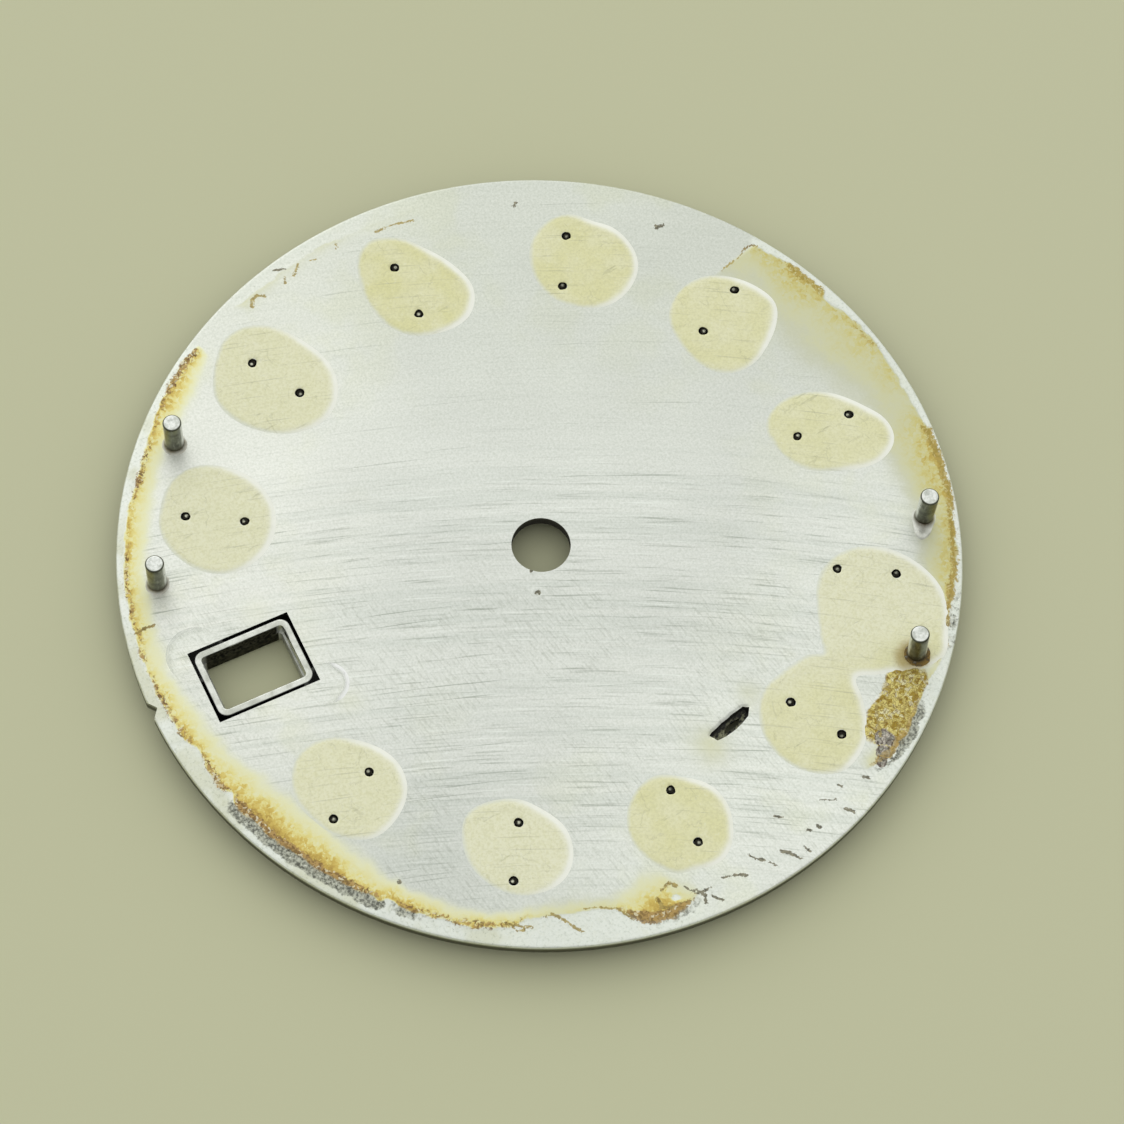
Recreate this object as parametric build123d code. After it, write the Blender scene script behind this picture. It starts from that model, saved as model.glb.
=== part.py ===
from build123d import *
import math
import os

# A wristwatch dial lying on its face, so that its back and its feet point up.
# The origin is the centre of the centre hole on the back of the plate.
# +Z points out of the back and +Y points at 12 o'clock, so 3 o'clock is at -X.
# All lengths are in millimetres and all angles in degrees.

os.makedirs("parts", exist_ok=True)

# Clock face
hours_in_turn = 12
minutes_in_turn = 60
twelve_heading = 90.0

# Plate
plate_diameter = 28.5
plate_thickness = 0.4
rim_edge_break = 0.05
centre_hole_diameter = 2.0
overrun = 1.0

# Coat on the front of the plate, and the marks printed on it
coat_thickness = 0.03
print_thickness = 0.02
track_rim_gap = 0.45
minute_mark_length = 0.55
minute_mark_width = 0.12
five_minute_mark_width = 0.22
minutes_per_hour_mark = 5

# Date window
window_rim_gap = 1.9
window_clock_angle = 90.0
window_length = 3.6
window_width = 2.7

# Applied frame whose spigot stands in the date window
spigot_clearance = 0.1
spigot_corner_radius = 0.35
spigot_wall = 0.24
opening_corner_radius = 0.1
frame_ledge = 0.07
frame_margin = 0.45
frame_corner_radius = 0.5
frame_height = 0.7
frame_bevel = 0.2
frame_window_bevel = 0.15

# Notch cut into the rim at 3 o'clock
notch_clock_angle = 90.0
notch_width = 0.65
notch_depth = 0.25

# Ragged slot through the plate near 7 o'clock
slot_rim_inset = 5.3
slot_clock_angle = 198.7
slot_heading = 17.5
slot_length = 1.7
slot_width = 0.5
slot_outline_shares = (
    (-0.49, 0.34), (-0.45, -0.3), (-0.27, -0.47), (-0.03, -0.55), (0.15, -0.52), (0.35, -0.42),
    (0.5, 0.0), (0.42, 0.34), (0.26, 0.38), (0.12, 0.44), (0.02, 0.41), (-0.12, 0.46),
    (-0.27, 0.41), (-0.4, 0.42),
)

# Hour markers: each has two feet that pass through the plate
marker_rim_gap = 1.35
marker_foot_spacing = 2.0
marker_foot_diameter = 0.2
marker_foot_clearance = 0.07
marker_foot_recess = 0.02
marker_height = 0.7
marker_bevel = 0.25
short_marker_length = 3.8
short_marker_width = 1.1
long_marker_length = 4.3
long_marker_width = 1.3
marker_kinds = {
    "01": "short", "02": "short", "04": "short", "05": "short", "06": "long", "07": "short",
    "08": "short", "09": "long", "10": "short", "11": "short", "12": "long",
}

# Dial feet: minute, inset from the rim, clock angle and lean towards the centre
dial_foot_diameter = 0.64
dial_foot_length = 1.65
dial_foot_end_break = 0.05
dial_foot_places = (
    ("08", 1.3, 48.2, 0.0),
    ("12", 1.35, 71.5, 0.0),
    ("38", 1.15, 227.2, 3.0),
    ("42", 1.2, 249.6, 0.0),
)

# Solder round the root of each dial foot. Its side is hollow: it bends at a waist, at the
# same share of its reach and of its height.
solder_height = 0.13
solder_waist_share = 0.3
solder_reaches = {"08": 0.12, "12": 0.1, "38": 0.16, "42": 0.1}
solder_run_foot = "42"
solder_run_radius = 0.3
solder_run_offset = 0.52
solder_run_heading = 236.0
solder_run_height = 0.07

# Cement laid over each marker's feet. A film's middle is shifted from the marker's middle,
# outwards and anticlockwise, and its outline is how far it reaches from there, going round
# anticlockwise from the rim side. Both are shares of the cement's reach.
cement_thickness = 0.06
cement_reach = 2.1
cement_gap = 0.02
cement_shift_shares = {
    "12": (0.07, -0.19),
    "01": (0.05, 0.05),
    "02": (0.0, 0.0),
    "04": (-0.1, -0.1),
    "05": (-0.1, 0.0),
    "06": (0.07, -0.1),
    "07": (0.0, -0.05),
    "08": (0.19, -0.71),
    "09": (0.02, -0.14),
    "10": (-0.1, -0.24),
    "11": (0.05, -0.29),
}
cement_outline_shares = {
    "12": (0.96, 1.1, 0.94, 0.86, 0.9, 0.98, 1.02, 1.08, 0.96, 0.74, 0.66, 0.72),
    "01": (1.04, 0.96, 0.98, 0.96, 0.98, 1.08, 1.16, 1.08, 0.94, 0.86, 0.94, 1.06),
    "02": (0.9, 0.9, 0.9, 0.96, 1.0, 1.0, 0.98, 0.94, 0.92, 0.94, 1.0, 0.96),
    "04": (0.78, 0.84, 0.92, 0.9, 0.9, 0.86, 0.8, 0.8, 0.9, 0.96, 0.9, 0.82),
    "05": (0.8, 0.86, 0.92, 0.88, 0.8, 0.72, 0.76, 0.82, 0.92, 0.84, 0.78, 0.76),
    "06": (0.82, 0.88, 0.82, 0.8, 0.78, 0.76, 0.86, 0.86, 0.84, 0.82, 0.8, 0.84),
    "07": (0.88, 0.84, 0.86, 1.02, 1.16, 0.98, 0.94, 0.88, 0.84, 0.84, 0.88, 0.94),
    "08": (1.14, 1.14, 1.12, 1.16, 1.18, 1.1, 0.96, 1.02, 1.24, 1.08, 1.12, 1.28),
    "09": (0.88, 0.72, 0.72, 0.8, 0.94, 1.02, 0.88, 0.8, 0.72, 0.76, 0.96, 1.08),
    "10": (0.84, 0.86, 0.94, 0.98, 0.98, 0.9, 0.92, 0.96, 0.88, 0.78, 0.8, 0.88),
    "11": (0.8, 0.92, 0.92, 0.88, 0.86, 0.88, 0.9, 0.96, 0.96, 0.94, 0.86, 0.8),
}
joined_films = ("07", "08")
joined_neck_width = 1.0

# Clear dabs that hold the date frame: shift from the window's middle and radius
dab_thickness = 0.05
dab_places = {
    "upper": (-1.55, 1.2, 1.0),
    "lower": (1.95, -1.55, 0.75),
}

# Sizes that follow from the ones above
plate_radius = plate_diameter / 2
face_z = -(plate_thickness + coat_thickness)
hour_angle = 360.0 / hours_in_turn
minute_angle = 360.0 / minutes_in_turn
marker_foot_radius = marker_foot_diameter / 2
marker_hole_radius = marker_foot_radius + marker_foot_clearance
dial_foot_radius = dial_foot_diameter / 2
window_radius = plate_radius - window_rim_gap - window_length / 2
slot_radius = plate_radius - slot_rim_inset
track_middle_radius = plate_radius - track_rim_gap - minute_mark_length / 2
opening_length = window_length - 2 * (spigot_clearance + spigot_wall)
opening_width = window_width - 2 * (spigot_clearance + spigot_wall)


def clock_place(radius, clock_angle):
    """The point at a radius and a clock angle, which runs anticlockwise seen from the back."""
    heading = math.radians(twelve_heading + clock_angle)
    return radius * math.cos(heading), radius * math.sin(heading)


def turned(shape, clock_angle):
    """A shape made at 12 o'clock, turned to its clock angle."""
    return Rot(0, 0, clock_angle) * shape


def write(name, shape):
    export_step(shape, f"parts/{name}.step")


def slab(sketch, low_z, high_z):
    """A flat sketch made solid between two heights."""
    return Pos(0, 0, low_z) * extrude(sketch, amount=high_z - low_z)


def marker_sizes(hour):
    """The middle radius, length, width and clock angle of an hour's marker."""
    length, width = short_marker_length, short_marker_width
    if marker_kinds[hour] == "long":
        length, width = long_marker_length, long_marker_width
    middle = plate_radius - marker_rim_gap - length / 2
    return middle, length, width, int(hour) * hour_angle


def marker_foot_places(hour):
    """Where an hour marker's two feet pass through the plate."""
    middle, _, _, clock_angle = marker_sizes(hour)
    half = marker_foot_spacing / 2
    return [clock_place(middle + side * half, clock_angle) for side in (-1, 1)]


# Holes that pass through the plate, its coat and, round the marker feet, the cement

def window_sketch(length, width, corner_radius=0):
    """A rectangle at the date window, its length along the dial's radius."""
    outline = RectangleRounded(width, length, corner_radius) if corner_radius else Rectangle(width, length)
    x, y = clock_place(window_radius, 0)
    return turned(Pos(x, y) * outline, window_clock_angle)


def slot_sketch():
    """The slot's ragged outline, drawn along its own length."""
    points = [(u * slot_length, v * slot_width) for u, v in slot_outline_shares]
    outline = make_face(Polyline(*points, close=True))
    x, y = clock_place(slot_radius, slot_clock_angle)
    return Pos(x, y) * Rot(0, 0, slot_heading) * outline


def notch_sketch():
    """A V that widens outwards from its tip, past the rim."""
    tip = plate_radius - notch_depth
    slope = notch_width / 2 / notch_depth
    far = plate_radius + notch_depth
    half = (far - tip) * slope
    outline = make_face(Polyline((0, tip), (-half, far), (half, far), close=True))
    return turned(outline, notch_clock_angle)


def marker_foot_holes(low_z, high_z):
    holes = []
    for hour in marker_kinds:
        for x, y in marker_foot_places(hour):
            holes.append(slab(Pos(x, y) * Circle(marker_hole_radius), low_z, high_z))
    return holes


def openings(low_z, high_z):
    """Every opening that the plate and its coat share."""
    return [
        slab(Circle(centre_hole_diameter / 2), low_z, high_z),
        slab(window_sketch(window_length, window_width), low_z, high_z),
        slab(slot_sketch(), low_z, high_z),
        slab(notch_sketch(), low_z, high_z),
        *marker_foot_holes(low_z, high_z),
    ]


def make_plate():
    """A disc with its back edge broken, then every opening cut through it."""
    disc = slab(Circle(plate_radius), -plate_thickness, 0)
    disc = chamfer(disc.edges().group_by(Axis.Z)[-1], rim_edge_break)
    return disc - openings(-plate_thickness - overrun, overrun)


def make_coat():
    disc = slab(Circle(plate_radius), face_z, -plate_thickness)
    return disc - openings(face_z - overrun, overrun)


def make_minute_track():
    """Sixty separate printed bars, the fifth ones wider."""
    marks = []
    for minute in range(minutes_in_turn):
        on_hour = minute % minutes_per_hour_mark == 0
        width = five_minute_mark_width if on_hour else minute_mark_width
        outline = Pos(0, track_middle_radius) * Rectangle(width, minute_mark_length)
        bar = slab(outline, face_z - print_thickness, face_z)
        marks.append(turned(bar, minute * minute_angle))
    return Compound(marks)


def make_hour_marker(hour):
    """A bevelled baton on the face of the dial, with two round feet up through the plate."""
    middle, length, width, clock_angle = marker_sizes(hour)
    front_z = face_z - marker_height
    baton = slab(Pos(0, middle) * Rectangle(width, length), front_z, face_z)
    front = baton.faces().sort_by(Axis.Z)[0]
    marker = turned(chamfer(front.edges(), marker_bevel), clock_angle)
    for x, y in marker_foot_places(hour):
        marker += slab(Pos(x, y) * Circle(marker_foot_radius), face_z - marker_bevel, -marker_foot_recess)
    return marker


def make_date_frame():
    """A bevelled frame on the face, and its spigot up through the date window."""
    flange_length = window_length + 2 * frame_margin
    flange_width = window_width + 2 * frame_margin
    front_z = face_z - frame_height
    flange = slab(window_sketch(flange_length, flange_width, frame_corner_radius), front_z, face_z)
    front = flange.faces().sort_by(Axis.Z)[0]
    flange = chamfer(front.edges(), frame_bevel)
    spigot_length = window_length - 2 * spigot_clearance
    spigot_width = window_width - 2 * spigot_clearance
    spigot = slab(window_sketch(spigot_length, spigot_width, spigot_corner_radius), face_z, 0)
    front_length = opening_length - 2 * frame_ledge
    front_width = opening_width - 2 * frame_ledge
    window = slab(window_sketch(front_length, front_width, opening_corner_radius), front_z - overrun, overrun)
    back_window = slab(window_sketch(opening_length, opening_width, opening_corner_radius), face_z, overrun)
    frame = flange + spigot - window - back_window
    rim = frame.faces().sort_by(Axis.Z)[0].inner_wires()[0]
    return chamfer(rim.edges(), frame_window_bevel)


def foot_frame(rim_inset, clock_angle, lean):
    """A foot's root on the back of the plate, its axis leaning towards the centre."""
    x, y = clock_place(plate_radius - rim_inset, clock_angle)
    return Pos(x, y) * Rot(0, 0, clock_angle) * Rot(lean, 0, 0)


def stood_on_plate(shape, rim_inset, clock_angle, lean):
    """A shape made round a foot's axis, put in its place and cut flat on the back of the plate."""
    placed = foot_frame(rim_inset, clock_angle, lean) * shape
    if not lean:
        return placed
    x, y = clock_place(plate_radius - rim_inset, clock_angle)
    return placed - slab(Pos(x, y) * Circle(2 * dial_foot_diameter), -2 * dial_foot_diameter, 0)


def make_dial_foot(rim_inset, clock_angle, lean):
    """A round pin with a broken end."""
    low = -dial_foot_radius if lean else 0
    pin = slab(Circle(dial_foot_radius), low, dial_foot_length)
    pin = chamfer(pin.edges().group_by(Axis.Z)[-1], dial_foot_end_break)
    return stood_on_plate(pin, rim_inset, clock_angle, lean)


def make_solder(name, rim_inset, clock_angle, lean):
    """A skirt round a foot, steeper towards the foot, and at one foot a low drop beside it."""
    inner = dial_foot_radius
    reach = solder_reaches[name]
    outer = inner + reach
    waist = (inner + solder_waist_share * reach, solder_waist_share * solder_height)
    root = [(inner, -inner), (outer, -inner)] if lean else [(inner, 0)]
    profile = make_face(Polyline((outer, 0), waist, (inner, solder_height), *root, close=True))
    skirt = revolve(Plane.XZ * profile, Axis.Z)
    skirt = stood_on_plate(skirt, rim_inset, clock_angle, lean)
    if name != solder_run_foot:
        return skirt
    x, y = clock_place(plate_radius - rim_inset, clock_angle)
    heading = math.radians(solder_run_heading)
    run_x = x + solder_run_offset * math.cos(heading)
    run_y = y + solder_run_offset * math.sin(heading)
    drop = slab(Circle(solder_run_radius), 0, solder_run_height)
    drop = Pos(run_x, run_y) * chamfer(drop.edges().group_by(Axis.Z)[-1], solder_run_height / 2)
    return skirt + (drop - slab(Pos(x, y) * Circle(inner), -overrun, overrun))


def cement_middle(hour):
    """The film's middle, and the heading from there to the rim."""
    marker_middle, _, _, clock_angle = marker_sizes(hour)
    outwards_share, aside_share = cement_shift_shares[hour]
    radius = marker_middle + outwards_share * cement_reach
    aside = aside_share * cement_reach
    heading = math.radians(twelve_heading + clock_angle)
    x = radius * math.cos(heading) - aside * math.sin(heading)
    y = radius * math.sin(heading) + aside * math.cos(heading)
    return x, y, heading


def cement_sketch(hour):
    """A smooth closed outline through the film's reaches, at even angles round its middle."""
    x, y, heading = cement_middle(hour)
    shares = cement_outline_shares[hour]
    points = []
    for step, share in enumerate(shares):
        angle = heading + 2 * math.pi * step / len(shares)
        reach = share * cement_reach
        points.append((x + reach * math.cos(angle), y + reach * math.sin(angle)))
    return make_face(Spline(*points, periodic=True))


def neck_sketch(one, other):
    """A straight strip between the middles of two films that have run together."""
    x1, y1, _ = cement_middle(one)
    x2, y2, _ = cement_middle(other)
    strip = Rectangle(math.hypot(x2 - x1, y2 - y1), joined_neck_width)
    return Pos((x1 + x2) / 2, (y1 + y2) / 2) * Rot(0, 0, math.degrees(math.atan2(y2 - y1, x2 - x1))) * strip


def make_cement(hours):
    """Cement films that have run together, left open over the marker feet and round the dial feet."""
    film = slab(cement_sketch(hours[0]), 0, cement_thickness)
    for before, hour in zip(hours, hours[1:]):
        film += slab(cement_sketch(hour), 0, cement_thickness)
        film += slab(neck_sketch(before, hour), 0, cement_thickness)
    holes = []
    for hour in hours:
        for x, y in marker_foot_places(hour):
            holes.append(slab(Pos(x, y) * Circle(marker_hole_radius), -overrun, overrun))
    for name, rim_inset, clock_angle, _ in dial_foot_places:
        x, y = clock_place(plate_radius - rim_inset, clock_angle)
        clear = dial_foot_radius + solder_reaches[name] + cement_gap
        holes.append(slab(Pos(x, y) * Circle(clear), -overrun, overrun))
    return film - holes


def make_frame_dab(shift_x, shift_y, radius):
    """A clear dab across the gap round the date frame, open over the frame's window."""
    x, y = clock_place(window_radius, window_clock_angle)
    disc = slab(Pos(x + shift_x, y + shift_y) * Circle(radius), 0, dab_thickness)
    window = slab(window_sketch(opening_length, opening_width, opening_corner_radius), -overrun, overrun)
    return disc - window


write("dial_plate", make_plate())
write("front_coat", make_coat())
write("minute_track", make_minute_track())
write("date_frame", make_date_frame())
for marker_hour in marker_kinds:
    write(f"hour_marker_{marker_hour}", make_hour_marker(marker_hour))
for minute, foot_inset, foot_clock_angle, foot_lean in dial_foot_places:
    write(f"dial_foot_{minute}", make_dial_foot(foot_inset, foot_clock_angle, foot_lean))
    write(f"foot_solder_{minute}", make_solder(minute, foot_inset, foot_clock_angle, foot_lean))
for film_hour in cement_shift_shares:
    if film_hour not in joined_films:
        write(f"cement_{film_hour}", make_cement([film_hour]))
write("cement_" + "_".join(joined_films), make_cement(joined_films))
for dab_name, (dab_x, dab_y, dab_radius) in dab_places.items():
    write(f"frame_dab_{dab_name}", make_frame_dab(dab_x, dab_y, dab_radius))
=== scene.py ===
import math
from functools import cached_property

import bpy
import numpy as np
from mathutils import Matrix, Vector
from mathutils.geometry import delaunay_2d_cdt


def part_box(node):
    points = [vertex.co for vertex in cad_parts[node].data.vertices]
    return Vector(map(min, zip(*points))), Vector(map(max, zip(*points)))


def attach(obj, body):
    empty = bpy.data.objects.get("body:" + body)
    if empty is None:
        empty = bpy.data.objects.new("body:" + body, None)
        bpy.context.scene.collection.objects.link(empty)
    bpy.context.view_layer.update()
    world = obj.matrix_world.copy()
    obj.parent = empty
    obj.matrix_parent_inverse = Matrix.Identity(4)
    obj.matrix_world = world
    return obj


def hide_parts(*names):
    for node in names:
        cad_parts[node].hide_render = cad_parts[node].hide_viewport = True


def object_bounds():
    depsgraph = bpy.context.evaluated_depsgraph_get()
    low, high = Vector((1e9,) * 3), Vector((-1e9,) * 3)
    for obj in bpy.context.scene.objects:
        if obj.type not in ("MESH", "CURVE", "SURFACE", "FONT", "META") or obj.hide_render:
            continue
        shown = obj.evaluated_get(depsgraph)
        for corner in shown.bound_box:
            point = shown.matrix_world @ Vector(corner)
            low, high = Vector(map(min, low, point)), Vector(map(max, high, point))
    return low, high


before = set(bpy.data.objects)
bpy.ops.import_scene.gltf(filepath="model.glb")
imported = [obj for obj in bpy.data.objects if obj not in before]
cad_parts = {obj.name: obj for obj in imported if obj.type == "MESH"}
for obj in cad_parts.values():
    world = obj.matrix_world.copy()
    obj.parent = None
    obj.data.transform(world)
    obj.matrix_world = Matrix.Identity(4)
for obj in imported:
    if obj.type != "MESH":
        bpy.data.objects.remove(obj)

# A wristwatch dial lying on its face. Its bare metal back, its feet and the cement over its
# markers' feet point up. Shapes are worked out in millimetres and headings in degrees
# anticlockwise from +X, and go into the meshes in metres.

cad_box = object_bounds()
mm = 0.001


def linked(name, data):
    """A new object of the scene that shows some data."""
    made = bpy.data.objects.new(name, data)
    bpy.context.scene.collection.objects.link(made)
    return made


# Camera, as the photograph was taken

camera_place = (-25.446, -44.759, 109.919)
camera_turn = (24.771, -2.105, -25.905)
camera_lens = 115.47
camera_sensor = 36.0


def make_camera():
    data = bpy.data.cameras.new("camera")
    data.lens = camera_lens
    data.sensor_width = camera_sensor
    data.clip_start = 1 * mm
    data.clip_end = 10
    camera = linked("camera", data)
    camera.location = Vector(camera_place) * mm
    camera.rotation_euler = [math.radians(angle) for angle in camera_turn]
    bpy.context.scene.camera = camera


# Random patterns that are the same in each run

lattice_side = 256
lattice_shift = 900.5


def smooth_step(value, low, high):
    """From 0 at low to 1 at high along 3 t^2 - 2 t^3."""
    t = np.clip((value - low) / (high - low), 0, 1)
    return t * t * (3 - 2 * t)


def patches(x, y, size, seed):
    """Soft random patches from 0 to 1: a lattice of random values, blended by a smooth step."""
    lattice = np.random.default_rng(seed).random((lattice_side, lattice_side))
    u, v = x / size + lattice_shift, y / size + lattice_shift
    i, j = np.floor(u).astype(int), np.floor(v).astype(int)
    s, t = smooth_step(u - i, 0, 1), smooth_step(v - j, 0, 1)
    near, far = [lattice[i % lattice_side, row % lattice_side] * (1 - s)
                 + lattice[(i + 1) % lattice_side, row % lattice_side] * s for row in (j, j + 1)]
    return near * (1 - t) + far * t


def fine_patches(x, y, size, seed, layers=3):
    """Patches with smaller ones laid over them, each layer half as large and half as strong."""
    total = sum(patches(x, y, size / 2 ** k, seed + k) / 2 ** k for k in range(layers))
    return total / sum(1 / 2 ** k for k in range(layers))


# Outlines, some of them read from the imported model

def rings(node, height):
    """The closed outlines of a node's flat face at a height, the longest first, material on the
    left. An edge that only one of the face's triangles has is on an outline."""
    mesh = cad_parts[node].data
    points = np.empty(len(mesh.vertices) * 3)
    mesh.vertices.foreach_get("co", points)
    corners = np.empty(len(mesh.loops), int)
    mesh.loops.foreach_get("vertex_index", corners)
    points, merged = np.unique((points.reshape(-1, 3) / mm).round(4), axis=0, return_inverse=True)
    triangles = merged.ravel()[corners].reshape(-1, 3)
    flat = triangles[(np.abs(points[:, 2] - height) < 0.001)[triangles].all(1)]
    edges = np.concatenate([flat[:, [0, 1]], flat[:, [1, 2]], flat[:, [2, 0]]]).tolist()
    known = set(map(tuple, edges))
    after = {a: b for a, b in edges if (b, a) not in known}
    found = []
    while after:
        start = next(iter(after))
        loop = [start]
        step = after.pop(start)
        while step != start:
            loop.append(step)
            step = after.pop(step)
        found.append(points[loop, :2])
    return sorted(found, key=lambda ring: -np.ptp(ring, axis=0).sum())


def area_of(ring):
    """Half the sum of the cross products of neighbouring points: above 0 if anticlockwise."""
    ahead = np.roll(ring, -1, axis=0)
    return 0.5 * (ring[:, 0] * ahead[:, 1] - ring[:, 1] * ahead[:, 0]).sum()


def divided(ring, spacing, rim=None):
    """The ring with long edges cut into even short ones. Where both ends of an edge lie on a rim
    of that radius, its new points are pushed out to the rim too."""
    ahead = np.roll(ring, -1, axis=0)
    counts = np.maximum(1, np.ceil(np.linalg.norm(ahead - ring, axis=1) / spacing)).astype(int)
    first = np.repeat(np.cumsum(counts) - counts, counts)
    share = ((np.arange(counts.sum()) - first) / np.repeat(counts, counts))[:, None]
    points = np.repeat(ring, counts, axis=0) * (1 - share) + np.repeat(ahead, counts, axis=0) * share
    if rim:
        out = (np.hypot(*ring.T) > rim - 0.002) & (np.hypot(*ahead.T) > rim - 0.002)
        on_rim = np.repeat(out, counts)
        points[on_rim] *= (rim / np.hypot(*points[on_rim].T))[:, None]
    return points


def circle(x, y, radius, count, clockwise=True):
    turn = np.linspace(0, 2 * np.pi, count, endpoint=False) * (-1 if clockwise else 1)
    return np.c_[x + radius * np.cos(turn), y + radius * np.sin(turn)]


def is_round(ring):
    reach = np.linalg.norm(ring - ring.mean(0), axis=1)
    return len(ring) > 8 and np.ptp(reach) < 0.03 * reach.mean()


def clean_ring(ring, spacing, extra=0.0):
    """A round ring drawn again as a true circle, any other with its edges divided."""
    if not is_round(ring):
        return divided(ring, spacing)
    middle = ring.mean(0)
    radius = np.linalg.norm(ring - middle, axis=1).mean() + extra
    count = max(20, int(2 * np.pi * radius / spacing))
    return circle(*middle, radius, count, clockwise=area_of(ring) < 0)


def softened(ring, waves, spacing):
    """A closed ring with even spacing and only its slow waves kept, so that it has no corners."""
    fine = divided(ring, spacing / 4)
    along = np.r_[0, np.cumsum(np.linalg.norm(np.roll(fine, -1, axis=0) - fine, axis=1))]
    even = np.linspace(0, along[-1], int(along[-1] / spacing), endpoint=False)
    closed = np.vstack([fine, fine[:1]])
    spectrum = np.fft.fft(np.interp(even, along, closed[:, 0]) + 1j * np.interp(even, along, closed[:, 1]))
    spectrum[waves + 1:-waves] = 0
    line = np.fft.ifft(spectrum)
    return np.c_[line.real, line.imag]


def moved_out(ring, reach):
    """The ring moved outwards along its own normals."""
    along = np.roll(ring, -1, axis=0) - np.roll(ring, 1, axis=0)
    normal = np.c_[along[:, 1], -along[:, 0]]
    normal /= np.linalg.norm(normal, axis=1)[:, None]
    return ring + normal * reach * np.sign(area_of(ring))


def turned(points, angle):
    """Flat points turned about the origin by an angle in radians."""
    return points @ np.array([(math.cos(angle), math.sin(angle)), (-math.sin(angle), math.cos(angle))])


def at_heading(heading, radius):
    """Where a heading and a radius from the dial's middle lead to."""
    turn = math.radians(heading)
    return radius * math.cos(turn), radius * math.sin(turn)


def inside(points, ring):
    """Whether each point lies in the ring, by how many of its edges a line to the right crosses."""
    found = np.zeros(len(points), bool)
    low, high = ring.min(0), ring.max(0)
    near = np.flatnonzero((points > low).all(1) & (points < high).all(1))
    x, y = points[near, 0][:, None], points[near, 1][:, None]
    x1, y1 = ring.T
    x2, y2 = np.roll(ring, -1, axis=0).T
    crosses = (y1 > y) != (y2 > y)
    with np.errstate(divide="ignore", invalid="ignore"):
        right = x < x1 + (y - y1) * (x2 - x1) / (y2 - y1)
    found[near] = (crosses & right).sum(1) % 2 == 1
    return found


def outside(points, outlines):
    """Whether each point lies in none of the outlines."""
    free = np.ones(len(points), bool)
    for ring in outlines:
        free &= ~inside(points, ring)
    return free


def distance_to(points, outlines):
    """How far each point is from the nearest point of the outlines."""
    marks = np.concatenate(outlines)
    reach = np.full(len(points), np.inf)
    for block in np.array_split(np.arange(len(points)), max(1, len(points) // 4000)):
        gap = points[block][:, None] - marks[None]
        reach[block] = np.sqrt((gap ** 2).sum(2).min(1))
    return reach


def distance_to_line(x, y, line):
    """How far points are from the straight runs between places given as heading and radius."""
    bends = [at_heading(*place) for place in line]
    reach = np.full(len(x), np.inf)
    for (u1, v1), (u2, v2) in zip(bends, bends[1:]):
        run_x, run_y = u2 - u1, v2 - v1
        share = np.clip(((x - u1) * run_x + (y - v1) * run_y) / (run_x ** 2 + run_y ** 2), 0, 1)
        reach = np.minimum(reach, np.hypot(x - u1 - share * run_x, y - v1 - share * run_y))
    return reach


def even_field(outline, spacing):
    """Points at the corners of even triangles over an outline's box."""
    low, high = outline.min(0), outline.max(0)
    row_gap = spacing * math.sqrt(3) / 2
    across, up = np.arange(low[0], high[0], spacing), np.arange(low[1], high[1], row_gap)
    x, y = np.meshgrid(across, up)
    x = x + (np.arange(len(up)) % 2)[:, None] * spacing / 2
    return np.c_[x.ravel(), y.ravel()]


def inner_field(outline, holes, spacing, clearance):
    """An even field inside an outline and outside its holes, clear of the edges of them all."""
    field = even_field(outline, spacing)
    field = field[inside(field, outline) & outside(field, holes)]
    return field[distance_to(field, [outline, *holes]) > clearance]


# Meshes

def add_piece(name, points, faces, materials, face_material=None, marks=None, sharp=35.0):
    """A mesh object from points in millimetres, faces that all have as many corners, and values
    for each point that its material reads."""
    mesh = bpy.data.meshes.new(name)
    mesh.from_pydata(points * mm, [], faces)
    for material in materials:
        mesh.materials.append(material)
    if face_material is not None:
        mesh.polygons.foreach_set("material_index", face_material.astype(np.int32))
    for key, values in (marks or {}).items():
        layer = mesh.attributes.new(key, "FLOAT", "POINT")
        layer.data.foreach_set("value", values.astype(np.float32))
    mesh.polygons.foreach_set("use_smooth", np.ones(len(mesh.polygons), bool))
    mesh.set_sharp_from_angle(angle=math.radians(sharp))
    mesh.update()
    piece = linked(name, mesh)
    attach(piece, "root")
    return piece


def grid_faces(rows, columns, close_rows=False):
    """Three-cornered faces of a grid of points, given row after row, whose columns go all round."""
    i = np.arange(rows if close_rows else rows - 1)[:, None]
    j = np.arange(columns)[None, :]
    i2, j2 = (i + 1) % rows, (j + 1) % columns
    a, b, c, d = i * columns + j, i * columns + j2, i2 * columns + j2, i2 * columns + j
    return np.concatenate([np.stack([a, b, c], -1).reshape(-1, 3), np.stack([a, c, d], -1).reshape(-1, 3)])


def lathe(profile, columns):
    """A closed round solid: a profile of radii and heights, from the bottom up, carried round an
    upright axis, and a pole on the axis at each end."""
    turn = np.linspace(0, 2 * np.pi, columns, endpoint=False)
    radius, height = np.array(profile, float).T
    x, y = radius[:, None] * np.cos(turn), radius[:, None] * np.sin(turn)
    z = np.broadcast_to(height[:, None], x.shape)
    points = np.stack([x, y, z], -1).reshape(-1, 3)
    low_pole, high_pole = len(points), len(points) + 1
    points = np.vstack([points, (0, 0, height[0]), (0, 0, height[-1])])
    j = np.arange(columns)
    j2, top = np.roll(j, -1), (len(radius) - 1) * columns
    faces = np.concatenate([grid_faces(len(radius), columns),
                            np.c_[np.full(columns, low_pole), j2, j],
                            np.c_[np.full(columns, high_pole), top + j, top + j2]])
    return points, faces


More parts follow.
